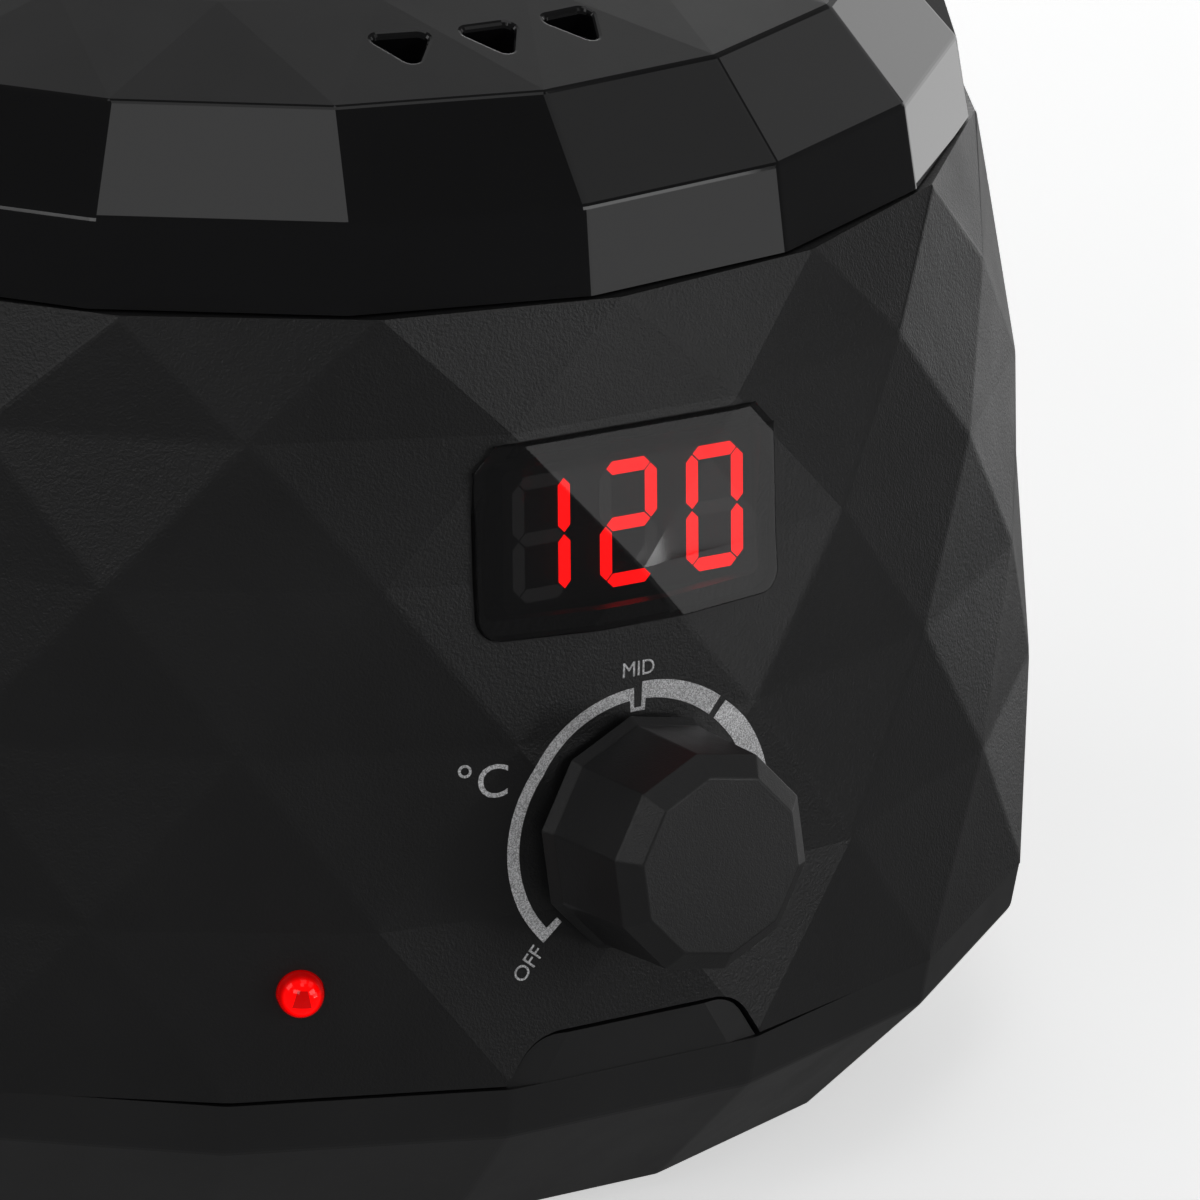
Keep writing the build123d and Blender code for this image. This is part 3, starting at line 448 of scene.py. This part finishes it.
def lens_finish():
    return finish(
        "smoked_lens", (0.004, 0.004, 0.0045), 0.03, pattern=(160.0, 60.0), depth=0.0, contrast=0.1,
        gloss=0.01, Alpha=0.62, Specular_IOR_Level=0.8)


def steel(name, color=(0.55, 0.55, 0.56), roughness=0.28):
    return finish(
        name, color, roughness, "brushed", (2600.0, 60.0), depth=0.004, contrast=0.12, gloss=0.06,
        Metallic=1.0)


def plastic(name, color, roughness=0.4, **sockets):
    return finish(
        name, color, roughness, pattern=(2200.0, 90.0), depth=0.006, contrast=0.12, gloss=0.05,
        **sockets)


def node_finishes():
    """CAD nodes that keep their own shape, and the finish each one gets."""
    pot = finish(
        "spun_pot", (0.62, 0.62, 0.63), 0.26, "brushed", (2400.0, 25.0), depth=0.006, contrast=0.08,
        gloss=0.05, Metallic=1.0)
    well = finish(
        "drawn_well", (0.5, 0.5, 0.51), 0.34, "brushed", (1600.0, 35.0), depth=0.008, contrast=0.12,
        gloss=0.06, Metallic=1.0)
    screws = steel("zinc_screws", (0.5, 0.5, 0.5), 0.3)
    board = plastic("solder_resist", (0.01, 0.09, 0.035), 0.3, Coat_Weight=0.3)
    black = plastic("moulded_black", (0.012, 0.012, 0.012), 0.42)
    return {
        "rubber_feet": finish(
            "foot_rubber", (0.018, 0.018, 0.018), 0.7, pattern=(1800.0, 80.0), depth=0.03,
            contrast=0.25, gloss=0.08),
        "base_screws": screws, "deck_screws": screws, "well_screws": screws, "board_screws": screws,
        "supply_screws": screws, "lid_knob_screw": screws,
        "deck_ring": finish(
            "deck_plastic", (0.012, 0.012, 0.0125), 0.45, pattern=(2600.0, 50.0), depth=0.02,
            contrast=0.15, gloss=0.05),
        "heating_well": well, "wax_pot": pot,
        "handle_ears": steel("ear_steel", (0.55, 0.55, 0.56), 0.3),
        "pot_handle": steel("handle_steel", (0.62, 0.62, 0.63), 0.2),
        "heater_band": steel("heater_band_steel", (0.4, 0.38, 0.36), 0.45),
        "insulation_sleeve": finish(
            "glass_fibre", (0.72, 0.7, 0.64), 0.85, "weave", (700.0, 120.0), depth=0.2,
            contrast=0.12, gloss=0.05),
        "temperature_probe": steel("probe_steel", (0.6, 0.6, 0.6), 0.25),
        "probe_clip": steel("clip_steel", (0.5, 0.49, 0.47), 0.35),
        "fuse_clip": steel("clip_steel"), "thermal_fuse": steel("probe_steel"),
        "display_module": plastic("module_plastic", (0.006, 0.006, 0.006), 0.5),
        "control_board": board, "supply_board": board, "controller_chip": black,
        "cord_gland": black, "gland_locknut": black,
        "rotary_sensor": steel("sensor_steel", (0.55, 0.54, 0.5), 0.35),
        "sensor_washer": steel("washer_steel", (0.6, 0.6, 0.6), 0.3),
        "sensor_nut": steel("washer_steel"),
        "knob_shaft": steel("shaft_aluminium", (0.62, 0.62, 0.63), 0.3),
        "relay": plastic("relay_case", (0.02, 0.07, 0.3), 0.35),
        "supply_coil": plastic("coil_tape", (0.5, 0.32, 0.04), 0.45),
        "capacitors": plastic("capacitor_sleeve", (0.02, 0.03, 0.06), 0.3, Coat_Weight=0.4),
        "terminal_block": plastic("terminal_plastic", (0.06, 0.2, 0.09), 0.45),}


# ---- mesh helpers ------------------------------------------------------------------------------

SAME_PLACE = 2e-6
FLAT = math.radians(0.4)
LEAST_FACET = math.radians(4)
SHARP = math.radians(60)
BEVEL_ROOM = 3  # an edge and its neighbours are at least this many bevels long


def merged_copy(node):
    """A CAD node's mesh with its loose triangles merged into whole faces."""
    bm = bmesh.new()
    bm.from_mesh(frame["nodes"][node].data)
    bmesh.ops.remove_doubles(bm, verts=bm.verts, dist=SAME_PLACE)
    bmesh.ops.dissolve_limit(
        bm, angle_limit=FLAT, verts=bm.verts, edges=bm.edges, delimit={"NORMAL"})
    bm.normal_update()
    return bm


def bevel_edges(bm, edges, width, segments=2):
    """Rounds some edges over."""
    if edges and width > 0:
        bmesh.ops.bevel(
            bm, geom=edges, offset=width, offset_type="OFFSET", segments=segments, profile=0.5,
            affect="EDGES", clamp_overlap=False, material=-1, loop_slide=True)
    bm.normal_update()


def corner_angle(edge):
    """The angle between an edge's two faces, or 0 where it hasn't two."""
    return edge.calc_face_angle(0) if len(edge.link_faces) == 2 else 0


def roomy_edges(bm, width, least=LEAST_FACET, most=SHARP):
    """Edges whose faces meet at an angle between least and most, with room for a bevel of a width."""
    found = []
    for edge in bm.edges:
        if not least < corner_angle(edge) < most:
            continue
        around = {other for vert in edge.verts for other in vert.link_edges}
        if min(other.calc_length() for other in around) > BEVEL_ROOM * width:
            found.append(edge)
    return found


def piece(name, bm, body, materials, replaces=()):
    """Turns a bmesh into a finished piece that rides on its body and materials."""
    bmesh.ops.triangulate(bm, faces=[face for face in bm.faces if len(face.verts) > 4])
    mesh = bpy.data.meshes.new(name)
    for face in bm.faces:
        face.smooth = False
    bm.to_mesh(mesh)
    bm.free()
    made = bpy.data.objects.new(name, mesh)
    bpy.context.scene.collection.objects.link(made)
    for material in materials:
        mesh.materials.append(material)
    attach(made, body)
    if replaces:
        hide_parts(*replaces)
    return made


def clad(node, material):
    """Gives a CAD node that keeps its shape a better finish."""
    target = frame["nodes"][node]
    if not target.material_slots:
        target.data.materials.append(material)
    for place in target.material_slots:
        place.material = material


# ---- pieces ------------------------------------------------------------------------------------

VENT_RING = (0.055, 0.072)  # the steam vents lie between these radii
UPWARD = 0.93  # least upward share of the normal of a satin face
SATIN_BAND = 4 * MM  # the satin top starts this far below the crown's height
LENS_RIM = 0.22 * MM
PLATE_BACK = 7.4 * MM  # behind the panel, where the display module starts
PLATE_CORNER = 1.2 * MM
SEGMENT_THICKNESS = 0.1 * MM


class WARMER_OT_housing(bpy.types.Operator):
    """Housing and base with softened facet edges and moulded grain"""

    bl_idname = "warmer.housing"
    bl_label = "Housing and base"

    def execute(self, context):
        shell = context.scene.warmer_shell
        for node, slot, material, width in (
            ("body_shell", "housing_black", housing_finish(), shell.facet_edge),
            ("base_shell", "base_black", base_finish(), shell.facet_edge),
        ):
            bm = merged_copy(node)
            bevel_edges(bm, roomy_edges(bm, width), width)
            piece(f"{node}_skin", bm, "housing", [material], [node])
        return {"FINISHED"}


class WARMER_OT_lid(bpy.types.Operator):
    """Lid with crisp glossy facets, a satin top and rounded steam vents, and its knob"""

    bl_idname = "warmer.lid"
    bl_label = "Lid"

    def execute(self, context):
        shell = context.scene.warmer_shell
        bm = merged_copy("lid_shell")
        low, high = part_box("lid_shell")
        crown = low.z + 0.6 * (high.z - low.z)
        vents = [edge for edge in bm.edges
                 if corner_angle(edge) > SHARP
                 and all(vert.co.z > crown and VENT_RING[0] < vert.co.xy.length < VENT_RING[1]
                         for vert in edge.verts)
                 and max(face.normal.z for face in edge.link_faces) > 0.8]
        facets = roomy_edges(bm, shell.lid_edge)
        bevel_edges(bm, vents, shell.vent_rim, 3)
        facets = [edge for edge in facets if edge.is_valid]
        bevel_edges(bm, facets, shell.lid_edge)
        for face in bm.faces:
            high_up = face.calc_center_median().z > crown - SATIN_BAND
            face.material_index = 1 if high_up and face.normal.z > UPWARD else 0
        piece(
            "lid_shell_skin", bm, "lid",
            [lid_gloss_finish(), lid_satin_finish()], ["lid_shell"])
        bm = merged_copy("lid_knob")
        bevel_edges(bm, roomy_edges(bm, shell.knob_edge, most=math.pi), shell.knob_edge)
        piece("lid_knob_skin", bm, "lid", [lid_gloss_finish()], ["lid_knob"])
        return {"FINISHED"}


class WARMER_OT_control_knob(bpy.types.Operator):
    """Ten-sided control knob with softened edges and a fine grain"""

    bl_idname = "warmer.control_knob"
    bl_label = "Control knob"

    def execute(self, context):
        width = context.scene.warmer_shell.knob_edge
        bm = merged_copy("control_knob")
        bevel_edges(bm, roomy_edges(bm, width, most=math.pi), width)
        piece("control_knob_skin", bm, "knob", [knob_finish()], ["control_knob"])
        return {"FINISHED"}


SEGMENTS = {  # name: (x, y, upright), in halves of a digit
    "a": (0, 1, False), "b": (1, 0.5, True), "c": (1, -0.5, True), "d": (0, -1, False),
    "e": (-1, -0.5, True), "f": (-1, 0.5, True), "g": (0, 0, False),
}
LIT = {
    "0": "abcdef", "1": "bc", "2": "abged", "3": "abgcd", "4": "fgbc", "5": "afgcd", "6": "afgedc",
    "7": "abc", "8": "abcdefg", "9": "abcdfg", " ": ""}


def segment_bar(bm, length, stroke, thickness, matrix):
    """A flat bar with pointed ends."""
    half, point = length / 2, stroke / 2
    outline = (
        (-half, 0), (-half + point, point), (half - point, point), (half, 0),
        (half - point, -point), (-half + point, -point))
    face = bm.faces.new([bm.verts.new((x, y, 0)) for x, y in reversed(outline)])
    out = bmesh.ops.extrude_face_region(bm, geom=[face])["geom"]
    moved = [item for item in out if isinstance(item, bmesh.types.BMVert)]
    bmesh.ops.translate(bm, verts=moved, vec=(0, 0, thickness))
    bmesh.ops.transform(bm, matrix=matrix, verts=list(face.verts) + moved)


class WARMER_OT_display(bpy.types.Operator):
    """Smoked lens and the seven-segment digits behind it"""

    bl_idname = "warmer.display"
    bl_label = "Display"

    def execute(self, context):
        display = context.scene.warmer_display
        bm = merged_copy("display_lens")
        rim = [edge for edge in bm.edges
               if corner_angle(edge) > SHARP
               and max(-face.normal.y for face in edge.link_faces) > 0.8]
        bevel_edges(bm, rim, LENS_RIM)
        piece("display_lens_skin", bm, "housing", [lens_finish()], ["display_lens"])
        lit_material = finish(
            "lit_segment", display.lit_color, 0.4, pattern=(900.0, 300.0), depth=0.0, contrast=0.05,
            Emission_Color=(*display.lit_color, 1), Emission_Strength=display.glow)
        # the unlit segments get a faint grey painted glow, standing in for room light falling on them
        # behind the lens
        unlit_painted_glow_material = finish(
            "unlit_segment", (0.06, 0.06, 0.06), 0.5, pattern=(900.0, 300.0), depth=0.0,
            contrast=0.05, Emission_Color=(0.2, 0.2, 0.2, 1), Emission_Strength=0.2)
        plate = bmesh.new()
        bmesh.ops.create_cube(plate, size=1.0)
        thick = PLATE_BACK - display.depth
        bmesh.ops.scale(
            plate, vec=(display.plate_width, display.plate_height, thick), verts=plate.verts)
        upright = [edge for edge in plate.edges
                   if abs(edge.verts[0].co.z - edge.verts[1].co.z) > 1e-5]
        bevel_edges(plate, upright, PLATE_CORNER, 5)
        bmesh.ops.transform(
            plate, matrix=panel_matrix(display.shift, display.rise, -display.depth - thick / 2),
            verts=plate.verts)
        piece("digit_plate", plate, "housing",
              [plastic("digit_face", (0.006, 0.006, 0.0065), 0.45)])
        across = (display.digit_width - display.stroke) / 2
        rise = (display.digit_height - display.stroke) / 2
        lit, unlit = bmesh.new(), bmesh.new()
        for place, digit in enumerate(display.reading):
            middle = (place - 1) * display.digit_pitch
            for name, (x, y, upright) in SEGMENTS.items():
                length = (rise if upright else 2 * across) - display.gap
                bar = panel_matrix(
                    display.shift + middle + x * across, display.rise + y * rise, -display.depth,
                    math.pi / 2 if upright else 0)
                shown = name in LIT[digit]
                segment_bar(lit if shown else unlit, length, display.stroke, SEGMENT_THICKNESS, bar)
        piece("lit_segments", lit, "housing", [lit_material])
        piece("unlit_segments", unlit, "housing", [unlit_painted_glow_material])
        return {"FINISHED"}


LAMP_EDGE = (1.75, 2.35)  # the glow fades between these distances from the tip, in millimetres
LAMP_EDGE_GLOW = 0.22
WEDGE_TAPER = 0.26
WEDGE_HALF_WIDTH = 0.8  # millimetres
WEDGE_HALF_HEIGHT = 0.95  # millimetres
WEDGE_SHADE = 0.68


class WARMER_OT_indicator(bpy.types.Operator):
    """Red indicator lamp: a red glowing finish on the lamp, fading away from its tip, with a darker
    wedge where its chip carrier shows
    """

    bl_idname = "warmer.indicator"
    bl_label = "Indicator lamp"

    def execute(self, context):
        look = context.scene.warmer_lamp
        lamp = finish(
            "lamp_red", (0.35, 0.0, 0.0), 0.07, pattern=(500.0, 400.0), depth=0.0, contrast=0.1,
            gloss=0.02, Specular_IOR_Level=0.4, Emission_Strength=look.glow)
        azimuth, tilt = look.azimuth, look.tilt
        ahead = Vector((
            math.sin(azimuth) * math.cos(tilt), -math.cos(azimuth) * math.cos(tilt), math.sin(tilt)))
        side = Vector((math.cos(azimuth), math.sin(azimuth), 0))
        tip = max(
            (vert.co for vert in frame["nodes"]["indicator_led"].data.vertices), key=ahead.dot)
        turn = Matrix((side, ahead.cross(side), ahead))
        tree = lamp.node_tree
        place = tree.nodes.new("ShaderNodeMapping")
        place.inputs["Location"].default_value = -(turn @ tip)
        place.inputs["Rotation"].default_value = turn.to_euler()
        tree.links.new(object_point(tree), place.inputs["Vector"])
        split = tree.nodes.new("ShaderNodeSeparateXYZ")
        tree.links.new(place.outputs[0], split.inputs[0])
        x, y = (math_node(tree, "DIVIDE", split.outputs[k], MM) for k in (0, 1))
        from_tip = math_node(tree, "SQRT", math_node(tree, "ADD", math_node(tree, "MULTIPLY", x, x),
                                                     math_node(tree, "MULTIPLY", y, y)))
        rim = map_range(tree, from_tip, LAMP_EDGE, (1.0, LAMP_EDGE_GLOW), "SMOOTHSTEP")
        # the lamp's own chip carrier shows through the dome as a darker wedge
        slope = math_node(
            tree, "ADD", math_node(tree, "ABSOLUTE", x),
            math_node(tree, "MULTIPLY", y, WEDGE_TAPER))
        wedge = math_node(
            tree, "MULTIPLY", math_node(tree, "LESS_THAN", slope, WEDGE_HALF_WIDTH),
            math_node(tree, "LESS_THAN", math_node(tree, "ABSOLUTE", y), WEDGE_HALF_HEIGHT))
        darker = math_node(tree, "MULTIPLY", wedge, WEDGE_SHADE)
        shaded = math_node(tree, "MULTIPLY", rim, math_node(tree, "SUBTRACT", 1.0, darker))
        glow = tint(tree, shaded, (0.02, 0.0, 0.0), look.color)
        tree.links.new(glow, tree.nodes["Principled BSDF"].inputs["Emission Color"])
        clad("indicator_led", lamp)
        return {"FINISHED"}


RAY_START = 8 * MM  # in front of the panel
RAY_REACH = 30 * MM
PRINT_GRID = 0.8 * MM
BAND_STEP = math.radians(2)
MARK_GAP = math.radians(1.9)  # half of the gap at the middle mark
MARK_LEG = math.radians(3.9)  # half of the bracket under it
MARK_DEPTH = 0.9 * MM
MARK_FOOT = 0.4 * MM
SPLIT_PLACE = math.radians(39)
HOOK_WIDTH = math.radians(3.4)
HOOK_DEPTH = 1.6 * MM
WORDS = (  # word, share of the text size, x and y from the knob's axis, turn in degrees
    ("OFF", 0.92, -13.4 * MM, -13.0 * MM, 50),
    ("MID", 0.92, 0.0, 17.9 * MM, 0),
    ("°C", 2.05, -18.8 * MM, 8.0 * MM, 0),
)


def laid_on_housing(bm, lift):
    """Lays a flat mesh in panel coordinates onto the housing's facets, as a thin solid."""
    skin = bmesh.new()
    skin.from_mesh(bpy.data.objects["body_shell_skin"].data)
    tree = BVHTree.FromBMesh(skin)
    skin.free()
    out = bmesh.ops.extrude_face_region(bm, geom=list(bm.faces), use_keep_orig=True)["geom"]
    raised = {item for item in out if isinstance(item, bmesh.types.BMVert)}
    for vert in bm.verts:
        start = panel_matrix(vert.co.x, vert.co.y, RAY_START).translation
        hit, _, _, _ = tree.ray_cast(start, -KNOB_AXIS, RAY_REACH)
        if hit is None:
            raise RuntimeError("the print misses the housing")
        vert.co = hit + KNOB_AXIS * (lift if vert in raised else -lift / 2)
    bmesh.ops.recalc_face_normals(bm, faces=bm.faces)


def grid_cut(bm, step):
    """Cuts a flat mesh along a grid, so that it can follow the facets."""
    for axis in (0, 1):
        low = min(vert.co[axis] for vert in bm.verts)
        high = max(vert.co[axis] for vert in bm.verts)
        across = Vector((0, 0, 0))
        across[axis] = 1
        place = math.ceil(low / step) * step
        while place < high:
            bmesh.ops.bisect_plane(
                bm, geom=[*bm.verts, *bm.edges, *bm.faces], dist=1e-7, plane_co=across * place,
                plane_no=across)
            place += step


def band(bm, inner, outer, start, end, growth=0.0):
    """A flat band about the knob's axis, clockwise from the top. growth widens its far end."""
    steps = max(2, int(abs(end - start) / BAND_STEP))
    low = bm.verts.new((inner * math.sin(start), inner * math.cos(start), 0))
    high = bm.verts.new((outer * math.sin(start), outer * math.cos(start), 0))
    edge = bm.edges.new((low, high))
    before = set(bm.verts) - {low, high}
    bmesh.ops.spin(
        bm, geom=[low, high, edge], cent=(0, 0, 0), axis=(0, 0, -1), angle=end - start, steps=steps,
        use_merge=False)
    for vert in bm.verts:
        if vert in before or not growth or vert.co.xy.length < (inner + outer) / 2:
            continue
        past = (math.atan2(vert.co.x, vert.co.y) - start + math.pi) % math.tau - math.pi
        share = (past if past > -0.1 else past + math.tau) / (end - start)
        vert.co *= 1 + growth * min(max(share, 0.0), 1.0) / outer


def lettering(body, size, matrix):
    """Flat mesh of a word, centred on its own middle and then placed."""
    curve = bpy.data.curves.new(body, "FONT")
    curve.body = body
    curve.size = size
    curve.align_x = "CENTER"
    curve.align_y = "CENTER"
    curve.resolution_u = 4
    holder = bpy.data.objects.new(body, curve)
    bpy.context.scene.collection.objects.link(holder)
    bpy.context.view_layer.update()
    mesh = bpy.data.meshes.new_from_object(holder)
    bpy.data.objects.remove(holder)
    mesh.transform(matrix)
    return mesh


class WARMER_OT_scale_print(bpy.types.Operator):
    """Silver temperature scale round the knob, with its marks and words"""

    bl_idname = "warmer.scale_print"
    bl_label = "Scale print"

    def execute(self, context):
        look = context.scene.warmer_print
        ink = finish(
            "silver_ink", look.ink, 0.42, "speckle", (9000.0, 300.0), depth=0.006, contrast=0.4,
            gloss=0.08, Metallic=0.35)
        radius, sweep, thin, wide = look.radius, look.sweep, look.thin, look.wide
        inner = radius - thin / 2
        bm = bmesh.new()
        band(bm, inner, inner + thin, -sweep, -MARK_GAP)
        band(bm, inner, inner + wide, MARK_GAP, SPLIT_PLACE, look.split - wide)
        band(
            bm, inner, inner + look.split, SPLIT_PLACE + 1.6 * MARK_GAP, sweep,
            look.widest - look.split)
        # hook at the cold end, bracket under the middle mark
        band(bm, inner - HOOK_DEPTH, inner, -sweep, -sweep + HOOK_WIDTH)
        for side in (-1, 1):
            band(bm, inner - MARK_DEPTH, inner, side * MARK_GAP, side * MARK_LEG)
        band(bm, inner - MARK_DEPTH - MARK_FOOT, inner - MARK_DEPTH, -MARK_LEG, MARK_LEG)
        for word, share, x, y, turn in WORDS:
            place = Matrix.Translation((x, y, 0)) @ Matrix.Rotation(math.radians(turn), 4, "Z")
            mesh = lettering(word, look.text_size * share, place)
            bm.from_mesh(mesh)
            bpy.data.meshes.remove(mesh)
        bmesh.ops.remove_doubles(bm, verts=bm.verts, dist=1e-7)
        grid_cut(bm, PRINT_GRID)
        laid_on_housing(bm, look.lift)
        piece("scale_print", bm, "housing", [ink])
        return {"FINISHED"}


class WARMER_OT_inner_parts(bpy.types.Operator):
    """Finishes of the pot, the well and the parts inside"""

    bl_idname = "warmer.inner_parts"
    bl_label = "Pot, well and inner parts"

    def execute(self, context):
        for node, material in node_finishes().items():
            clad(node, material)
        return {"FINISHED"}


# ---- stage -------------------------------------------------------------------------------------

AIM_HEIGHT = 0.08  # the light panels face this height over the origin
FLOOR_HALF = 8.0
FLOOR_GLOW = 0.55
SENSOR_WIDTH = 36.0
CLIP = (0.05, 50.0)


def light_panel(name, azimuth, elevation, distance, half_width, half_height, strength):
    """An area light that faces the object, sized by the half angles that it fills. Angles are in
    degrees, and the azimuth runs from +X towards +Y."""
    light = bpy.data.lights.new(name, "AREA")
    light.shape = "RECTANGLE"
    light.size = 2 * distance * math.tan(math.radians(half_width))
    light.size_y = 2 * distance * math.tan(math.radians(half_height))
    light.energy = math.pi * light.size * light.size_y * strength
    a, e = math.radians(azimuth), math.radians(elevation)
    away = Vector((math.cos(a) * math.cos(e), math.sin(a) * math.cos(e), math.sin(e)))
    panel = bpy.data.objects.new(name, light)
    panel.location = Vector((0, 0, AIM_HEIGHT)) + away * distance
    panel.rotation_mode = "QUATERNION"
    panel.rotation_quaternion = away.to_track_quat("Z", "Y")
    panel.visible_camera = False
    bpy.context.scene.collection.objects.link(panel)
    return panel


PANELS = (  # name, azimuth, elevation, distance, half width, half height, strength
    ("panel_front", -60, 20, 1.4, 15, 9, 2.4),
    ("panel_front_low", -55, 0, 0.52, 12, 8, 0.85),
    ("panel_front_card", -57, -8, 0.42, 7, 2, 3.5),
    ("panel_left_top", -108, 65.6, 1.2, 8, 8, 0.95),
    ("panel_left", -145, 30, 1.4, 16, 8, 2.2),
    ("panel_right_low", 21, -1, 1.4, 11, 16, 1.3),
    ("panel_right_high", 30, 26, 1.4, 30, 9, 0.35),
    ("panel_back_right", 61, 8, 1.4, 18, 12, 3.0),
    ("panel_back", 60, 45, 1.4, 20, 12, 0.35),
    ("panel_right_top", -35, 48, 1.4, 16, 9, 0.3),
    ("panel_top", -20, 80, 1.4, 18, 12, 0.5),
    ("panel_back_left", 150, 35, 1.4, 20, 14, 1.2),
)


class WARMER_OT_stage(bpy.types.Operator):
    """Pale floor, soft light and the camera"""

    bl_idname = "warmer.stage"
    bl_label = "Stage"

    def execute(self, context):
        scene = context.scene
        look = scene.warmer_stage
        bm = bmesh.new()
        bmesh.ops.create_grid(bm, x_segments=8, y_segments=8, size=FLOOR_HALF)
        mesh = bpy.data.meshes.new("floor")
        bm.to_mesh(mesh)
        bm.free()
        floor = bpy.data.objects.new("floor", mesh)
        scene.collection.objects.link(floor)
        mesh.materials.append(finish(
            "pale_floor", look.floor_color, 0.8, pattern=(60.0, 3.0), depth=0.0, contrast=0.01,
            gloss=0.02, Emission_Color=(1, 1, 1, 1), Emission_Strength=FLOOR_GLOW))
        floor.visible_glossy = False
        world = bpy.data.worlds.new("studio")
        scene.world = world
        world.use_nodes = True
        background = world.node_tree.nodes["Background"]
        background.inputs["Color"].default_value = (1, 1, 1, 1)
        background.inputs["Strength"].default_value = look.room_light
        for name, *place, strength in PANELS:
            light_panel(name, *place, strength * look.key_light)
        camera_data = bpy.data.cameras.new("camera")
        camera_data.lens = look.focal_length
        camera_data.sensor_width = SENSOR_WIDTH
        camera_data.clip_start, camera_data.clip_end = CLIP
        camera = bpy.data.objects.new("camera", camera_data)
        scene.collection.objects.link(camera)
        azimuth, down, roll = look.look_azimuth, look.look_down, look.roll
        ahead = Vector((
            math.sin(azimuth) * math.cos(down), math.cos(azimuth) * math.cos(down), -math.sin(down)))
        right = Vector((math.cos(azimuth), -math.sin(azimuth), 0))
        up = right.cross(ahead)
        turned_right = right * math.cos(roll) + up * math.sin(roll)
        turned_up = up * math.cos(roll) - right * math.sin(roll)
        basis = Matrix((turned_right, turned_up, -ahead)).transposed().to_4x4()
        camera.matrix_world = Matrix.Translation(look.camera_place) @ basis
        scene.camera = camera
        scene.view_settings.view_transform = "Standard"
        scene.view_settings.look = "None"
        return {"FINISHED"}


# ---- panel and registration --------------------------------------------------------------------

STEPS = (
    WARMER_OT_housing, WARMER_OT_lid, WARMER_OT_control_knob, WARMER_OT_display,
    WARMER_OT_indicator, WARMER_OT_scale_print, WARMER_OT_inner_parts, WARMER_OT_stage)


class WARMER_PT_panel(bpy.types.Panel):
    """Pieces and settings of the wax warmer"""

    bl_idname = "WARMER_PT_panel"
    bl_label = "Wax warmer"
    bl_space_type = "VIEW_3D"
    bl_region_type = "UI"
    bl_category = "Wax warmer"

    def draw(self, context):
        for step in STEPS:
            self.layout.operator(step.bl_idname)
        for name in SETTINGS:
            box = self.layout.box()
            group = getattr(context.scene, name)
            for key in group.__annotations__:
                box.prop(group, key)


def register():
    for kind in (*SETTINGS.values(), *STEPS, WARMER_PT_panel):
        bpy.utils.register_class(kind)
    for name, kind in SETTINGS.items():
        setattr(bpy.types.Scene, name, PointerProperty(type=kind))


def unregister():
    for name in SETTINGS:
        delattr(bpy.types.Scene, name)
    for kind in reversed((*SETTINGS.values(), *STEPS, WARMER_PT_panel)):
        bpy.utils.unregister_class(kind)


def main():
    register()
    for step in STEPS:
        group, operator = step.bl_idname.split(".")
        getattr(getattr(bpy.ops, group), operator)()
    bpy.context.view_layer.update()


if __name__ == "__main__":
    main()
